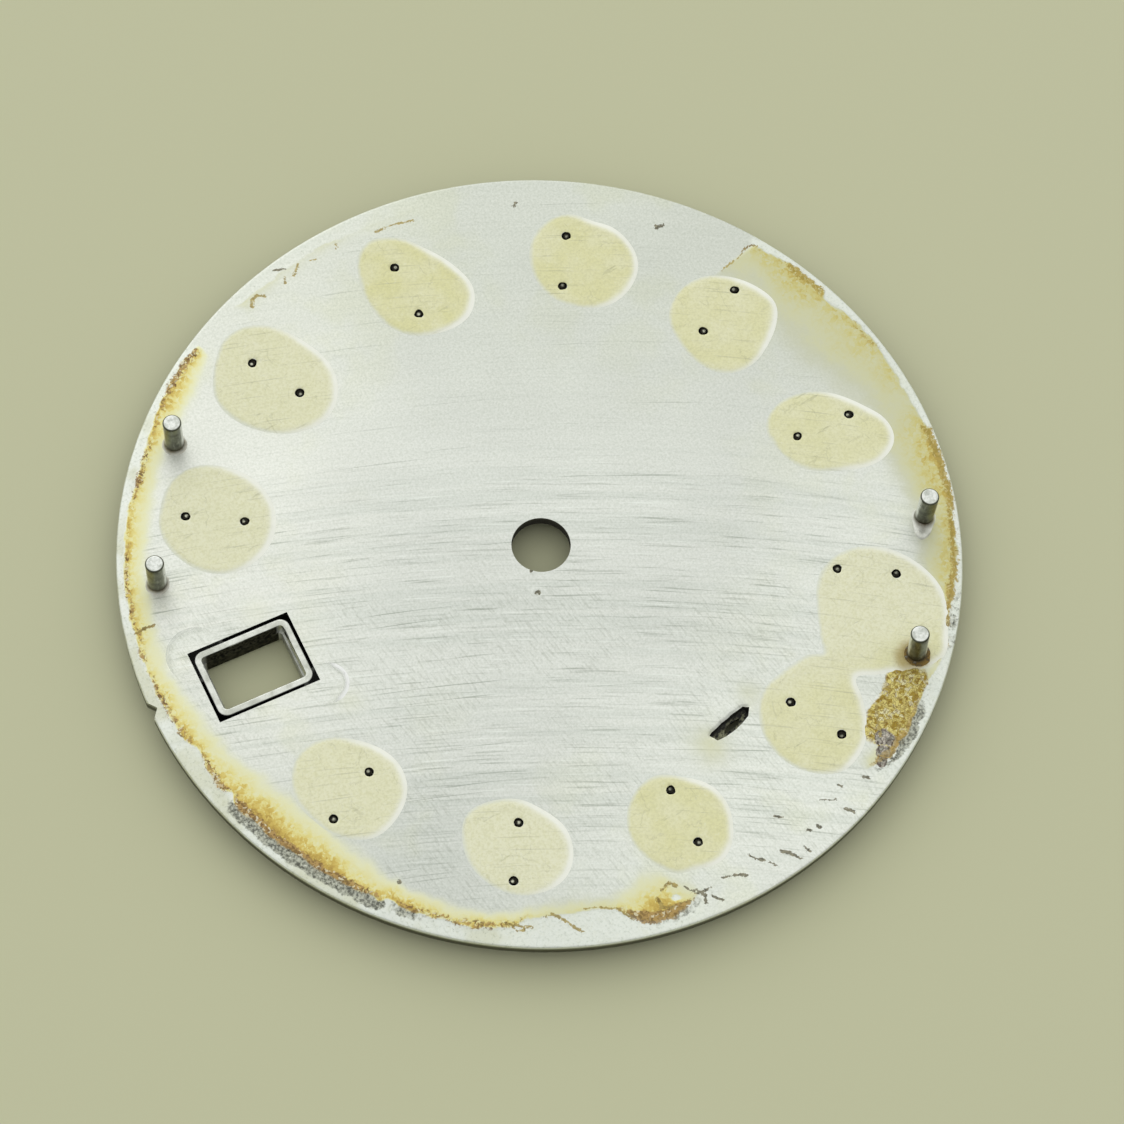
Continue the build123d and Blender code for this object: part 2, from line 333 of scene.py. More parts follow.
def filled(outlines, field):
    """Triangles between the outlines, over their own points and the field's.
    The first outline is the outer one. Triangles whose middle lies in a hole are left out."""
    points = np.concatenate([*outlines, field])
    edges = []
    first = 0
    for ring in outlines:
        here = first + np.arange(len(ring))
        edges += np.c_[here, np.roll(here, -1)].tolist()
        first += len(ring)
    made, _, faces, origin, _, _ = delaunay_2d_cdt(points.tolist(), edges, [], 1, 1e-7)
    if len(made) != len(points):
        raise ValueError(f"{len(points)} points became {len(made)}")
    source = np.array([group[0] for group in origin])
    triangles = source[np.array(faces)]
    triangles = triangles[outside(points[triangles].mean(1), outlines[1:])]
    a, b, c = points[triangles[:, 0]], points[triangles[:, 1]], points[triangles[:, 2]]
    clockwise = (b[:, 0] - a[:, 0]) * (c[:, 1] - a[:, 1]) - (b[:, 1] - a[:, 1]) * (c[:, 0] - a[:, 0]) < 0
    triangles[clockwise] = triangles[clockwise][:, ::-1]
    return points, triangles


def sheet_solid(outlines, field, bottom):
    """A closed solid over the outlines: its top is the field at height 0, to be shaped later, and
    its bottom is flat. Gives points, faces, which points the top has, and each face's kind:
    0 on the top, 1 below, and 2 and up on the walls, one for each outline."""
    outlines = [ring if (area_of(ring) > 0) == (k == 0) else ring[::-1] for k, ring in enumerate(outlines)]
    top, upper = filled(outlines, field)
    ring_count = sum(len(ring) for ring in outlines)
    _, lower = filled(outlines, np.empty((0, 2)))
    points = np.vstack([np.c_[top, np.zeros(len(top))], np.c_[top[:ring_count], np.full(ring_count, bottom)]])
    faces, kinds = [upper, lower[:, ::-1] + len(top)], [np.zeros(len(upper), int), np.ones(len(lower), int)]
    first = 0
    for k, ring in enumerate(outlines):
        here = first + np.arange(len(ring))
        ahead = np.roll(here, -1)
        faces += [np.c_[here + len(top), ahead + len(top), ahead], np.c_[here + len(top), ahead, here]]
        kinds.append(np.full(2 * len(ring), k + 2))
        first += len(ring)
    return points, np.concatenate(faces), np.arange(len(points)) < len(top), np.concatenate(kinds)


# Materials

class Wire:
    """A socket of a material's nodes. Sums and products of wires and numbers add Math nodes."""

    def __init__(self, paint, socket):
        self.paint = paint
        self.socket = socket

    def math(self, operation, first, second):
        return self.paint.node("Math", {"operation": operation}, {0: first, 1: second})

    def __add__(self, other):
        return self.math("ADD", self, other)

    def __radd__(self, other):
        return self.math("ADD", other, self)

    def __sub__(self, other):
        return self.math("SUBTRACT", self, other)

    def __rsub__(self, other):
        return self.math("SUBTRACT", other, self)

    def __mul__(self, other):
        return self.math("MULTIPLY", self, other)

    def __rmul__(self, other):
        return self.math("MULTIPLY", other, self)

    def __pow__(self, other):
        return self.math("POWER", self, other)

    def rise(self, low, high):
        """From 0 at low to 1 at high, along a smooth step."""
        settings = {"interpolation_type": "SMOOTHSTEP"}
        return self.paint.node("MapRange", settings, {"Value": self, 1: low, 2: high})


class Paint:
    """A material or world in the making, and the few nodes that all its patterns are made from."""

    def __init__(self, name, kept_in=bpy.data.materials):
        self.owner = kept_in.new(name)
        self.owner.use_nodes = True
        self.tree = self.owner.node_tree
        self.tree.nodes.clear()

    def node(self, kind, settings, sockets, output=0):
        """Adds a node of any type: first its settings, then the values or links of its sockets."""
        made = self.tree.nodes.new("ShaderNode" + kind)
        for key, value in settings.items():
            setattr(made, key, value)
        for key, value in sockets.items():
            if isinstance(value, Wire):
                self.tree.links.new(value.socket, made.inputs[key])
            else:
                made.inputs[key].default_value = value
        return Wire(self, made.outputs[output]) if made.outputs else None

    @cached_property
    def place(self):
        """Where a point of the object is, in millimetres."""
        found = self.node("TexCoord", {}, {}, "Object")
        return self.node("VectorMath", {"operation": "SCALE"}, {0: found, "Scale": 1 / mm})

    @cached_property
    def axes(self):
        return self.parts_of(self.place)

    def parts_of(self, vector):
        made = self.node("SeparateXYZ", {}, {0: vector}).socket.node
        return [Wire(self, output) for output in made.outputs]

    def vector(self, x, y, z=0.0):
        return self.node("CombineXYZ", {}, {0: x, 1: y, 2: z})

    def moved(self, shift):
        return self.node("VectorMath", {"operation": "ADD"}, {0: self.place, 1: shift})

    def marks(self, *keys):
        """The values that each point of the mesh has under these names."""
        return [self.node("Attribute", {"attribute_name": key}, {}, "Fac") for key in keys]

    def noise(self, per_mm, detail, seed, sharpness=0.5, place=None):
        sockets = {"Vector": place or self.place, "Scale": per_mm, "Detail": detail, "W": seed,
                   "Roughness": sharpness}
        return self.node("TexNoise", {"noise_dimensions": "4D"}, sockets)

    def cell_edges(self, place, per_mm):
        """How far a point is from the edge of its small cell."""
        return self.node("TexVoronoi", {"feature": "DISTANCE_TO_EDGE"}, {"Vector": place, "Scale": per_mm})

    def cell_tones(self, place, per_mm):
        """Three random values from 0 to 1, each the same all over one small cell."""
        return self.parts_of(self.node("TexVoronoi", {}, {"Vector": place, "Scale": per_mm}, "Color"))

    def ways(self, heading, bend):
        """The ways along a heading and across it. Lines across bend as the square of the way along."""
        turn = math.radians(heading)
        x, y, _ = self.axes
        along = x * math.cos(turn) + y * math.sin(turn)
        return along, y * math.cos(turn) - x * math.sin(turn) + along * along * bend

    def scratches(self, heading, bend, per_mm, seed, stretch=0.03):
        """Long thin streaks: noise squeezed across their heading and drawn out along it."""
        along, across = self.ways(heading, bend)
        return self.noise(per_mm, 3, seed, 0.6, self.vector(along * stretch, across))

    def ramp(self, value, stops):
        """The colour between stops, each a position from 0 to 1 and a colour."""
        made = self.node("ValToRGB", {}, {"Fac": value})
        elements = made.socket.node.color_ramp.elements
        for position, _ in stops[1:-1]:
            elements.new(position)
        for element, (position, colour) in zip(elements, stops):
            element.position, element.color = position, (*colour, 1)
        return made

    def mix(self, share, first, second, blend="MIX"):
        """The first colour where share is 0 and the second where it is 1."""
        settings = {"data_type": "RGBA", "blend_type": blend, "clamp_factor": True}
        colours = [value if isinstance(value, Wire) else (*value, 1) for value in (first, second)]
        return self.node("Mix", settings, {0: share, 6: colours[0], 7: colours[1]}, 2)

    def over(self, colour, *coats, blend="MIX"):
        """The colour with coats laid over it in turn, each a share from 0 to 1 and a colour."""
        for share, coat in coats:
            colour = self.mix(share, colour, coat, blend)
        return colour

    def tinted(self, colour, *coats):
        """The colour times that of each coat, as far as its share goes."""
        return self.over(colour, *coats, blend="MULTIPLY")

    def done(self, colour, roughness, height=None, depth=0.0, others=None):
        """The material. Its normal is bent by a height from 0 to 1 that stands for depth in mm."""
        sockets = {"Base Color": colour, "Roughness": roughness, **(others or {})}
        if height is not None:
            relief = {"Height": height, "Strength": 1.0, "Distance": depth * mm}
            sockets["Normal"] = self.node("Bump", {}, relief)
        self.node("OutputMaterial", {}, {"Surface": self.node("BsdfPrincipled", {}, sockets)})
        return self.owner


def shaded(colour, share):
    return tuple(share * part for part in colour)


silver = (0.80, 0.81, 0.77)
line_shade = (0.60, 0.62, 0.59)
scratch_heading = -24.0
scratch_bend = 0.0077
streaks_per_mm = 12.0
stain_stops = (
    (0.0, (0.80, 0.815, 0.68)), (0.14, (0.81, 0.80, 0.53)), (0.28, (0.80, 0.73, 0.32)),
    (0.42, (0.71, 0.55, 0.155)), (0.6, (0.60, 0.43, 0.11)), (0.8, (0.44, 0.28, 0.07)),
    (1.0, (0.25, 0.145, 0.045)),
)


def brushed_silver(paint):
    """Silver-grey metal, clouded, with painted shading that makes some sides lighter and others darker,
    long bent scratches and a patch of cross-hatching. Gives its colour, roughness and relief, and its
    speckle for other patterns."""
    x, y, _ = paint.axes
    _, across = paint.ways(scratch_heading, scratch_bend)
    brushed = 0.2 + 0.8 * across.rise(4.5, 1) * across.rise(-13.5, -9)
    cloud = paint.noise(0.22, 3, 1)
    grain = paint.noise(14, 2, 2)
    speck = paint.noise(9, 3, 7, 0.65)
    streak = paint.scratches(scratch_heading, scratch_bend, streaks_per_mm, 3)
    broad = paint.scratches(scratch_heading, scratch_bend, 2.4, 4)
    long_line = paint.scratches(scratch_heading + 3, scratch_bend, 9, 14, 0.014)
    hatch = paint.scratches(-78, 0, 12, 6, 0.14)
    worn = paint.noise(0.45, 2, 5).rise(0.32, 0.62)
    hatched = paint.noise(0.3, 2, 8).rise(0.36, 0.56) * across.rise(2, -2)
    tinge = paint.noise(0.5, 3, 9).rise(0.48, 0.66) * ((x * x + y * y) ** 0.5).rise(4, 12)
    # The first four coats below are painted shading: darker towards +x +y and towards -x -y, lighter towards
    # -x +y and towards -y.
    colour = paint.tinted(
        paint.mix(cloud.rise(0.3, 0.7), shaded(silver, 0.97), shaded(silver, 1.03)),
        ((x * 0.6 + y).rise(0, 14), (0.90, 0.91, 0.88)),
        ((y - x * 0.5).rise(-4, -12), (1.12, 1.12, 1.11)),
        ((y * 0.6 - x).rise(4, 12), (1.13, 1.12, 1.11)),
        ((x + y).rise(-10, -20), (0.88, 0.89, 0.88)),
        (tinge * 0.45, (0.97, 0.97, 0.84)),
        (broad.rise(0.42, 0.62) * brushed * 0.5, (0.85, 0.87, 0.86)),
        (grain.rise(0.35, 0.65) * 0.35, (0.74, 0.76, 0.72)),
        (speck.rise(0.42, 0.62) * 0.35, (0.80, 0.82, 0.78)),
        (streak.rise(0.53, 0.70) * brushed * (0.35 + 0.65 * worn), line_shade),
        (long_line.rise(0.63, 0.70) * (0.25 + 0.75 * brushed), line_shade))
    colour = paint.over(colour, (streak.rise(0.44, 0.28) * brushed * 0.55, (0.93, 0.96, 0.91)))
    colour = paint.tinted(colour, (hatch.rise(0.48, 0.66) * hatched * 0.5, (0.72, 0.73, 0.70)))
    roughness = 0.36 + 0.12 * cloud + 0.1 * grain
    return colour, roughness, 0.35 * streak * brushed + 0.2 * grain, speck


def plate_back_paint():
    """Brushed silver and, along the rim, the stain, crystals, crust, pits and bare ring whose
    strengths the mesh gives, all broken up by small warped cells."""
    paint = Paint("plate_back")
    colour, roughness, relief, speck = brushed_silver(paint)
    x, _, _ = paint.axes
    stain, dull, crust, pits, bare, net, scar, burnt = paint.marks(
        "stain", "dull", "crust", "pits", "bare", "net", "scar", "burnt")
    warped = paint.moved(paint.vector(*(paint.noise(5, 2, seed) * 0.35 for seed in (11, 12))))
    tone, second_tone, third_tone = paint.cell_tones(warped, 8.5)
    fine_tone, fine_shade, fine_light = paint.cell_tones(warped, 14)
    crack = paint.cell_edges(warped, 10).rise(0.10, 0.02)

    yellowed = paint.noise(0.8, 2, 13).rise(0.45, 0.65) * x.rise(-2, -9) * 0.5
    colour = paint.over(
        colour,
        (bare * (0.35 + 0.5 * speck), (0.84, 0.87, 0.81)),
        (bare * (yellowed + tone.rise(0.7, 0.95) * 0.12), (0.62, 0.62, 0.44)))
    colour = paint.tinted(colour, (bare * speck.rise(0.52, 0.66) * 0.5, (0.66, 0.68, 0.64)))

    grained = (tone - 0.5) * 0.26 + (speck - 0.5) * 0.5
    stain_here = stain * (0.9 + 0.3 * grained) + grained * stain.rise(0.08, 0.5)
    colour = paint.over(colour, (stain_here.rise(0, 0.13), paint.ramp(stain_here, stain_stops)))
    colour = paint.tinted(colour, (dull * stain_here.rise(0, 0.1), (0.78, 0.785, 0.78)))

    ashen = paint.mix((0.4 * third_tone + 0.6 * fine_tone).rise(0.25, 0.8),
                      (0.08, 0.055, 0.045), (0.66, 0.60, 0.52))
    crystals = paint.over(
        paint.mix(second_tone.rise(0.2, 0.8), (0.38, 0.26, 0.03), (0.74, 0.64, 0.22)),
        (third_tone.rise(0.75, 0.88) * 0.6, (0.86, 0.84, 0.60)),
        (crack * 0.8, (0.22, 0.13, 0.03)),
        (pits.rise(0.04, 0.25), paint.over(ashen, (crack * 0.7, (0.10, 0.07, 0.05)))))

    sprinkled = crust * 1.5 + 0.7 * grained + 0.55 * (fine_tone - 0.5) - 0.62
    crust_here = sprinkled.rise(0, 0.3) * crust.rise(0.03, 0.25)
    crust_tone = paint.over(
        paint.mix(fine_shade.rise(0.2, 0.8), (0.19, 0.10, 0.045), (0.52, 0.33, 0.13)),
        (fine_light.rise(0.85, 0.92), (0.80, 0.74, 0.56)),
        (dull * 0.75, (0.54, 0.42, 0.08)))

    pit_here = (pits * 1.5 + 1.6 * grained - 0.4).rise(0, 0.6) * pits.rise(0, 0.2)
    pit_grain = paint.noise(9, 3, 15, 0.7)
    pit_shade = 0.3 * second_tone + 0.8 * pit_grain.rise(0.4, 0.6)
    pit_tone = paint.over(
        paint.mix(pit_shade, (0.05, 0.052, 0.035), (0.58, 0.59, 0.49)),
        (pit_grain.rise(0.6, 0.68) * third_tone.rise(0.4, 0.6), (0.80, 0.81, 0.74)))

    flaked = (speck - 0.5) * 1.6 + (fine_tone - 0.5) * 1.0 - 0.6
    scar_here, burnt_here = [
        (1.3 * mark + flaked).rise(0, 0.35) * mark.rise(0, 0.3) for mark in (scar, burnt)]
    burnt_tone = paint.mix(fine_shade, (0.17, 0.11, 0.03), (0.50, 0.38, 0.13))
    colour = paint.over(
        colour,
        ((net + 0.5 * grained).rise(0.2, 0.5), crystals),
        (crust_here * 0.88, crust_tone),
        (pit_here * 0.9, pit_tone),
        (scar_here * 0.9, paint.mix(fine_shade, (0.05, 0.045, 0.025), (0.30, 0.27, 0.18))),
        (burnt_here * 0.9, paint.over(burnt_tone, (dull * 0.7, (0.48, 0.40, 0.14)))))

    marked = crust_here + pit_here
    metal = 0.88 - 0.35 * stain_here.rise(0.2, 0.9) - 0.5 * marked - 0.4 * net
    roughness = roughness + 0.15 * stain_here + 0.2 * marked
    relief = relief + 0.6 * tone * (stain + 2 * crust + 2 * pits + 2 * net).rise(0.1, 1.5)
    return paint.done(colour, roughness, relief, 0.012, {"Metallic": metal})


def wall_paint(name, upper, lower, metal, roughness, split=(-0.16, -0.1)):
    """A cut edge whose colour changes down the wall, with fine marks that run round it."""
    paint = Paint(name)
    x, y, z = paint.axes
    marks = paint.noise(5, 3, 1, place=paint.vector(x, y, z * 5))
    colour = paint.mix((z + (marks - 0.5) * 0.1).rise(*split), lower, upper)
    colour = paint.over(colour, (marks.rise(0.45, 0.8) * 0.35, shaded(upper, 0.5)))
    return paint.done(colour, roughness + 0.2 * marks, marks, 0.01, {"Metallic": metal})


def lacquer_paint():
    """Black gloss lacquer on the front: faint orange peel, dust and a few hair scratches."""
    paint = Paint("black_lacquer")
    peel = paint.noise(2.5, 2, 1)
    dust = paint.noise(18, 1, 2).rise(0.7, 0.8)
    hair = paint.scratches(40, 0, 5, 3).rise(0.68, 0.75)
    colour = paint.mix(peel, (0.008, 0.008, 0.009), (0.014, 0.014, 0.015))
    colour = paint.over(colour, (dust * 0.25 + hair * 0.1, (0.2, 0.2, 0.2)))
    return paint.done(colour, 0.14 + 0.12 * peel + 0.3 * hair, peel, 0.004, {"Coat Weight": 0.6})


def slot_shade_paint():
    """Black sheet in the slot: torn lacquer at its edges and painted shade over the rest where the slot
    is open, greyer in streaks and grit towards its middle.
    """
    paint = Paint("torn_lacquer_and_shade")
    (middle,) = paint.marks("middle")
    grit = paint.noise(9, 3, 1, 0.65)
    streak = paint.scratches(45, 0, 6, 2, 0.25)
    colour = paint.mix(grit.rise(0.45, 0.7), (0.006, 0.006, 0.004), (0.05, 0.05, 0.035))
    colour = paint.over(colour, ((streak * 0.6 + grit * 0.5).rise(0.52, 0.66) * middle, (0.42, 0.42, 0.26)))
    return paint.done(colour, 0.45 + 0.3 * grit, grit, 0.02)


def marker_paint():
    """Plated metal: clouded colour, fine grain along one heading, and small pits."""
    paint = Paint("marker_metal")
    dark, light = (0.70, 0.70, 0.68), (0.82, 0.82, 0.80)
    cloud = paint.noise(1.4, 3, 1)
    grain = paint.scratches(30, 0, 9, 2)
    pits = paint.noise(13, 2, 3).rise(0.62, 0.75)
    colour = paint.over(
        paint.mix(cloud.rise(0.25, 0.75), dark, light),
        (grain.rise(0.5, 0.8) * 0.25, shaded(dark, 0.6)),
        (pits * 0.3, shaded(dark, 0.35)))
    return paint.done(colour, 0.18 + 0.15 * grain + 0.2 * pits, grain - 0.6 * pits, 0.004, {"Metallic": 1.0})


def frame_paint():
    """Polished frame metal with a dented lip, black where it stands in the plate's opening, lacquer and
    painted shade in the narrow gap, and painted shade, near black, on its inner walls."""
    paint = Paint("frame_metal")
    gap, painted_wall_shade = paint.marks("gap", "painted_wall_shade")
    cloud = paint.noise(2, 3, 1)
    grain = paint.noise(9, 3, 2)
    black = paint.mix(grain.rise(0.4, 0.6), (0.008, 0.008, 0.005), (0.05, 0.048, 0.03))
    colour = paint.over(
        paint.mix(cloud.rise(0.35, 0.65), (0.56, 0.57, 0.51), (0.80, 0.81, 0.76)),
        (grain.rise(0.5, 0.75) * 0.5, (0.42, 0.43, 0.37)),
        (painted_wall_shade, black),
        (gap, (0.006, 0.006, 0.006)))
    covered = (gap + painted_wall_shade).rise(0, 1)
    return paint.done(colour, 0.18 + 0.15 * grain + 0.45 * covered, grain, 0.008,
                      {"Metallic": 1.0 - covered, "Specular IOR Level": 0.05})


def foot_paint():
    """A dial foot: its end polished bright; its shank dark, partly oxide and partly a painted dark
    reflection, with a painted highlight down the sides turned from shade_heading; painted shade in a
    dark ring on its rolled edge; and darker at its root.
    """
    paint = Paint("foot_metal")
    x, y, z = paint.axes
    face, edge, root, painted_side_highlight = paint.marks("face", "edge", "root", "painted_side_highlight")
    cloud = paint.noise(3, 3, 1)
    grain = paint.noise(11, 2, 2, place=paint.vector(x, y, z * 0.25))
    end = paint.mix(grain.rise(0.35, 0.65), (0.66, 0.68, 0.64), (0.86, 0.87, 0.84))
    colour = paint.over(
        paint.mix(cloud.rise(0.3, 0.7), (0.06, 0.062, 0.04), (0.19, 0.20, 0.14)),
        (grain.rise(0.5, 0.75) * 0.5, (0.36, 0.37, 0.30)),
        (painted_side_highlight * (0.6 + 0.4 * cloud), (0.90, 0.92, 0.85)),
        (root * (0.5 + cloud).rise(0.6, 1.1), (0.05, 0.035, 0.015)),
        (face, paint.over(end, (cloud.rise(0.5, 0.62) * 0.55, (0.42, 0.44, 0.39)))),
        (edge * 0.9, (0.06, 0.06, 0.045)))
    return paint.done(colour, 0.22 + 0.15 * grain + 0.2 * root, grain, 0.006,
                      {"Metallic": 1.0 - 0.3 * edge - 0.7 * painted_side_highlight})


def tip_paint():
    """The end of a marker's foot: near black, with a painted highlight, a small pale point, in its middle."""
    paint = Paint("marker_foot_tip")
    (point,) = paint.marks("point")
    grit = paint.noise(16, 2, 1)
    colour = paint.mix(grit.rise(0.35, 0.7), (0.006, 0.005, 0.003), (0.03, 0.027, 0.018))
    colour = paint.over(colour, (point * grit.rise(0.3, 0.5), (0.75, 0.75, 0.60)))
    return paint.done(colour, 0.7 + 0.2 * grit, grit, 0.01,
                      {"Metallic": 0.2 * point, "Specular IOR Level": 0.15})


def print_paint():
    """Pad-printed ink: off-white, a little uneven where the pad lifted."""
    paint = Paint("printed_ink")
    uneven = paint.noise(9, 3, 1)
    colour = paint.mix(uneven.rise(0.3, 0.7), (0.72, 0.72, 0.68), (0.83, 0.83, 0.8))
    return paint.done(colour, 0.5 + 0.2 * uneven, uneven, 0.004)


def cement_paint():
    """Thin yellowed cement, more yellow where it is deep: the plate's scratches show in it, short
    fine wrinkles crack it, it is silvery along its edge, where it thins out, and it has a painted
    highlight in white along the edge that faces the light."""
    paint = Paint("yellowed_cement")
    bead_highlight, thin, depth, amber = paint.marks("bead_highlight", "thin", "depth", "amber")
    cloud = paint.noise(0.9, 3, 1)
    fine = paint.noise(9, 3, 2)
    grit = paint.noise(12, 2, 6, 0.6)
    wrinkle = paint.scratches(8, 0, 5, 4, 0.16).rise(0.6, 0.7) * paint.noise(0.8, 2, 5).rise(0.42, 0.58)
    streak = paint.scratches(scratch_heading, scratch_bend, streaks_per_mm, 3)
    hair = paint.cell_edges(paint.moved(paint.vector(cloud, fine * 0.4)), 1.6)
    hair = hair.rise(0.03, 0.012) * paint.noise(1.3, 2, 7).rise(0.5, 0.6)
    colour = paint.over(
        paint.mix(depth, (0.99, 0.98, 0.75), (0.91, 0.88, 0.47)),
        (cloud.rise(0.35, 0.65) * 0.5, (0.96, 0.945, 0.70)),
        (thin * 0.85, (0.85, 0.88, 0.79)),
        (fine.rise(0.45, 0.7) * (0.25 - 0.2 * thin), (0.80, 0.78, 0.40)),
        (grit.rise(0.45, 0.62) * (0.25 - 0.2 * thin), (0.66, 0.64, 0.34)),
        (grit.rise(0.42, 0.3) * 0.3, (1.0, 1.0, 0.85)),
        (streak.rise(0.56, 0.70) * 0.4 + wrinkle * 0.35 + hair * 0.2, (0.42, 0.41, 0.24)),
        (amber, (0.42, 0.28, 0.04)),
        (bead_highlight, (1.0, 1.0, 0.91)))
    return paint.done(colour, 0.42 + 0.15 * fine, 0.6 * fine + 0.5 * grit - wrinkle - 0.3 * hair, 0.008,
                      {"Alpha": 0.84 + 0.1 * cloud + 0.06 * amber + 0.1 * bead_highlight})


def clear_dab_paint():
    """Clear glue with almost no colour of its own: only a painted highlight along its curved edge shows."""
    paint = Paint("clear_glue")
    bead_highlight, faint = paint.marks("bead_highlight", "faint")
    fine = paint.noise(5, 2, 1)
    colour = paint.mix(bead_highlight, (0.90, 0.93, 0.86), (1.0, 1.0, 0.99))
    cover = 0.004 + 0.06 * faint + 0.95 * bead_highlight * fine.rise(0.1, 0.4)
    return paint.done(colour, 0.3 + 0.1 * fine, fine, 0.004, {"Alpha": cover, "Specular IOR Level": 0.05})


def solder_paint(name, stain):
    """Dull solder, browned by flux where stain is above 0, and darker at its root next to the foot."""
    paint = Paint(name)
    (root,) = paint.marks("root")
    cloud = paint.noise(3, 3, 1)
    flow = paint.noise(9, 3, 2)
    browned = (flow * 0.8 + cloud * 0.4).rise(0.2, 0.6) * stain
    colour = paint.over(
        paint.mix(cloud.rise(0.3, 0.7), (0.62, 0.63, 0.57), (0.92, 0.93, 0.88)),
        (browned, paint.mix(flow.rise(0.4, 0.6), (0.06, 0.035, 0.008), (0.26, 0.16, 0.03))),
        (root * (0.4 + 0.8 * flow), (0.08, 0.055, 0.02)))
    return paint.done(colour, 0.35 + 0.25 * flow, flow, 0.02, {"Metallic": 0.85 - 0.5 * browned})


# The aged back of the plate. Each row gives a heading, the radius of the old lacquer's ragged
# edge, how far its stain reaches in from there, and the strengths of the stain, of its dullness,
# of the brown crust on the edge and of the grey pits outside it.

rim_story = np.array([
    (0, 13.95, 4.6, 0.24, 1, 0.15, 0),
    (7, 13.95, 4.6, 0.28, 1, 0.1, 0),
    (9, 14, 4.4, 0.37, 1, 0.45, 0),
    (15, 14, 4.4, 0.37, 1, 0.4, 0),
    (17, 13.85, 4.2, 0.34, 1, 0.1, 0),
    (19.5, 13.85, 4.2, 0.34, 1, 0.2, 0),
    (20.5, 14.02, 4, 0.35, 1, 0.66, 0),
    (27, 14.04, 4, 0.35, 1, 0.66, 0),
    (28, 13.98, 3.6, 0.34, 1, 0.3, 0),
    (32.3, 13.92, 3.4, 0.34, 1, 0.3, 0),
    (33, 13.9, 3, 0, 0, 0, 0),
    (82, 13.9, 1, 0, 0, 0, 0),
    (84, 13.7, 0.9, 0.04, 0.5, 0.05, 0.1),
    (94, 13.7, 0.9, 0.05, 0.5, 0, 0.1),
    (98, 13.75, 0.9, 0.09, 0.5, 0.2, 0.2),
    (113, 13.75, 0.9, 0.1, 0.5, 0.25, 0.2),
    (115, 14, 0.6, 0, 0.5, 0, 0),
    (122, 14, 0.6, 0, 0, 0, 0),
    (123, 14.02, 0.8, 0.5, 0, 0.7, 0),
    (129, 14.03, 1.3, 0.62, 0, 0.7, 0),
    (134, 13.94, 1.2, 0.55, 0, 0.45, 0),
    (137, 13.86, 1.1, 0.45, 0, 0.4, 0),
    (146, 13.86, 1.1, 0.45, 0, 0.6, 0),
    (150, 13.95, 1.1, 0.45, 0, 0.3, 0),
    (156, 13.98, 1.1, 0.48, 0, 0.4, 0),
    (162, 14, 1.1, 0.52, 0, 0.5, 0),
    (168, 13.93, 1.1, 0.45, 0, 0.45, 0),
    (176, 13.88, 1, 0.45, 0, 0.45, 0),
    (181, 13.82, 1.2, 0.5, 0, 0.6, 0.1),
    (186, 13.72, 1.3, 0.52, 0.1, 0.5, 0.1),
    (188, 13.5, 1.2, 0.52, 0.1, 0.25, 0),
    (191, 13.62, 1.3, 0.6, 0.1, 0.65, 0.1),
    (195, 13.72, 1.6, 0.75, 0.1, 0.8, 0.3),
    (196.6, 13.55, 1.6, 0.75, 0.1, 0.3, 0.1),
    (198, 13.72, 1.8, 0.78, 0.1, 0.9, 0.8),
    (208, 13.7, 1.8, 0.78, 0.1, 0.85, 1),
    (219, 13.72, 1.5, 0.72, 0.1, 0.75, 1),
    (222, 13.7, 1.1, 0.6, 0.1, 0.5, 0.9),
    (223.3, 13.5, 0.9, 0.5, 0.1, 0.1, 0.3),
    (225, 13.68, 0.9, 0.55, 0.1, 0.6, 0.8),
    (229, 13.66, 0.9, 0.5, 0.2, 0.5, 0.3),
    (236, 13.72, 0.8, 0.45, 0.2, 0.6, 0.15),
    (240, 13.6, 0.8, 0.42, 0.2, 0.5, 0.05),
    (242, 13.3, 0.7, 0.32, 0.3, 0.3, 0),
    (246, 13.1, 0.8, 0.26, 0.5, 0.1, 0),
    (254, 13.06, 0.8, 0.28, 0.5, 0.1, 0),
    (256.5, 13.45, 1.3, 0.6, 0.2, 0.8, 0.1),
    (258, 13.65, 1.7, 0.72, 0.2, 1.3, 0.1),
    (259.5, 13.74, 2.1, 0.75, 0.2, 1.5, 0.3),
    (262.5, 13.78, 2.1, 0.7, 0.2, 1.5, 0.4),
    (265, 13.6, 1.4, 0.3, 0.3, 0.7, 0.5),
    (267, 13.4, 1.2, 0.05, 0.3, 0.2, 0.3),
    (272, 13.3, 1.2, 0, 0.5, 0, 0),
    (297, 13.3, 1.2, 0, 0.5, 0, 0),
    (298.5, 13.5, 1, 0.15, 0.5, 0.5, 0.5),
    (302, 13.75, 1.1, 0.3, 0.5, 0.95, 0.9),
    (305, 13.8, 1.3, 0.5, 0.5, 0.8, 1),
    (309, 13.75, 1.4, 0.5, 0.5, 0.5, 1),
    (311, 13.7, 1.4, 0.4, 0.5, 0.4, 0.3),
    (313, 13.7, 1.4, 0.35, 0.5, 0.3, 0.1),
    (316, 13.9, 1, 0.2, 0.3, 0.2, 0),
    (320, 14, 1, 0.25, 0.5, 0.5, 0.4),
    (324, 13.9, 1, 0.28, 0.6, 0.7, 0.5),
    (328, 13.95, 1.7, 0.45, 0.8, 0.7, 0.3),
    (333, 14.06, 2.2, 0.45, 0.9, 0.65, 0),
    (340, 14.06, 2.2, 0.45, 0.9, 0.65, 0),
    (344, 14.13, 2.6, 0.48, 0.9, 0.8, 0),
    (353, 14.1, 3.2, 0.48, 0.9, 0.8, 0),
    (355, 14, 4, 0.32, 1, 0.2, 0),
])

# Short dark scars and burnt brown lines: how wide each is, and its bends as headings and radii.

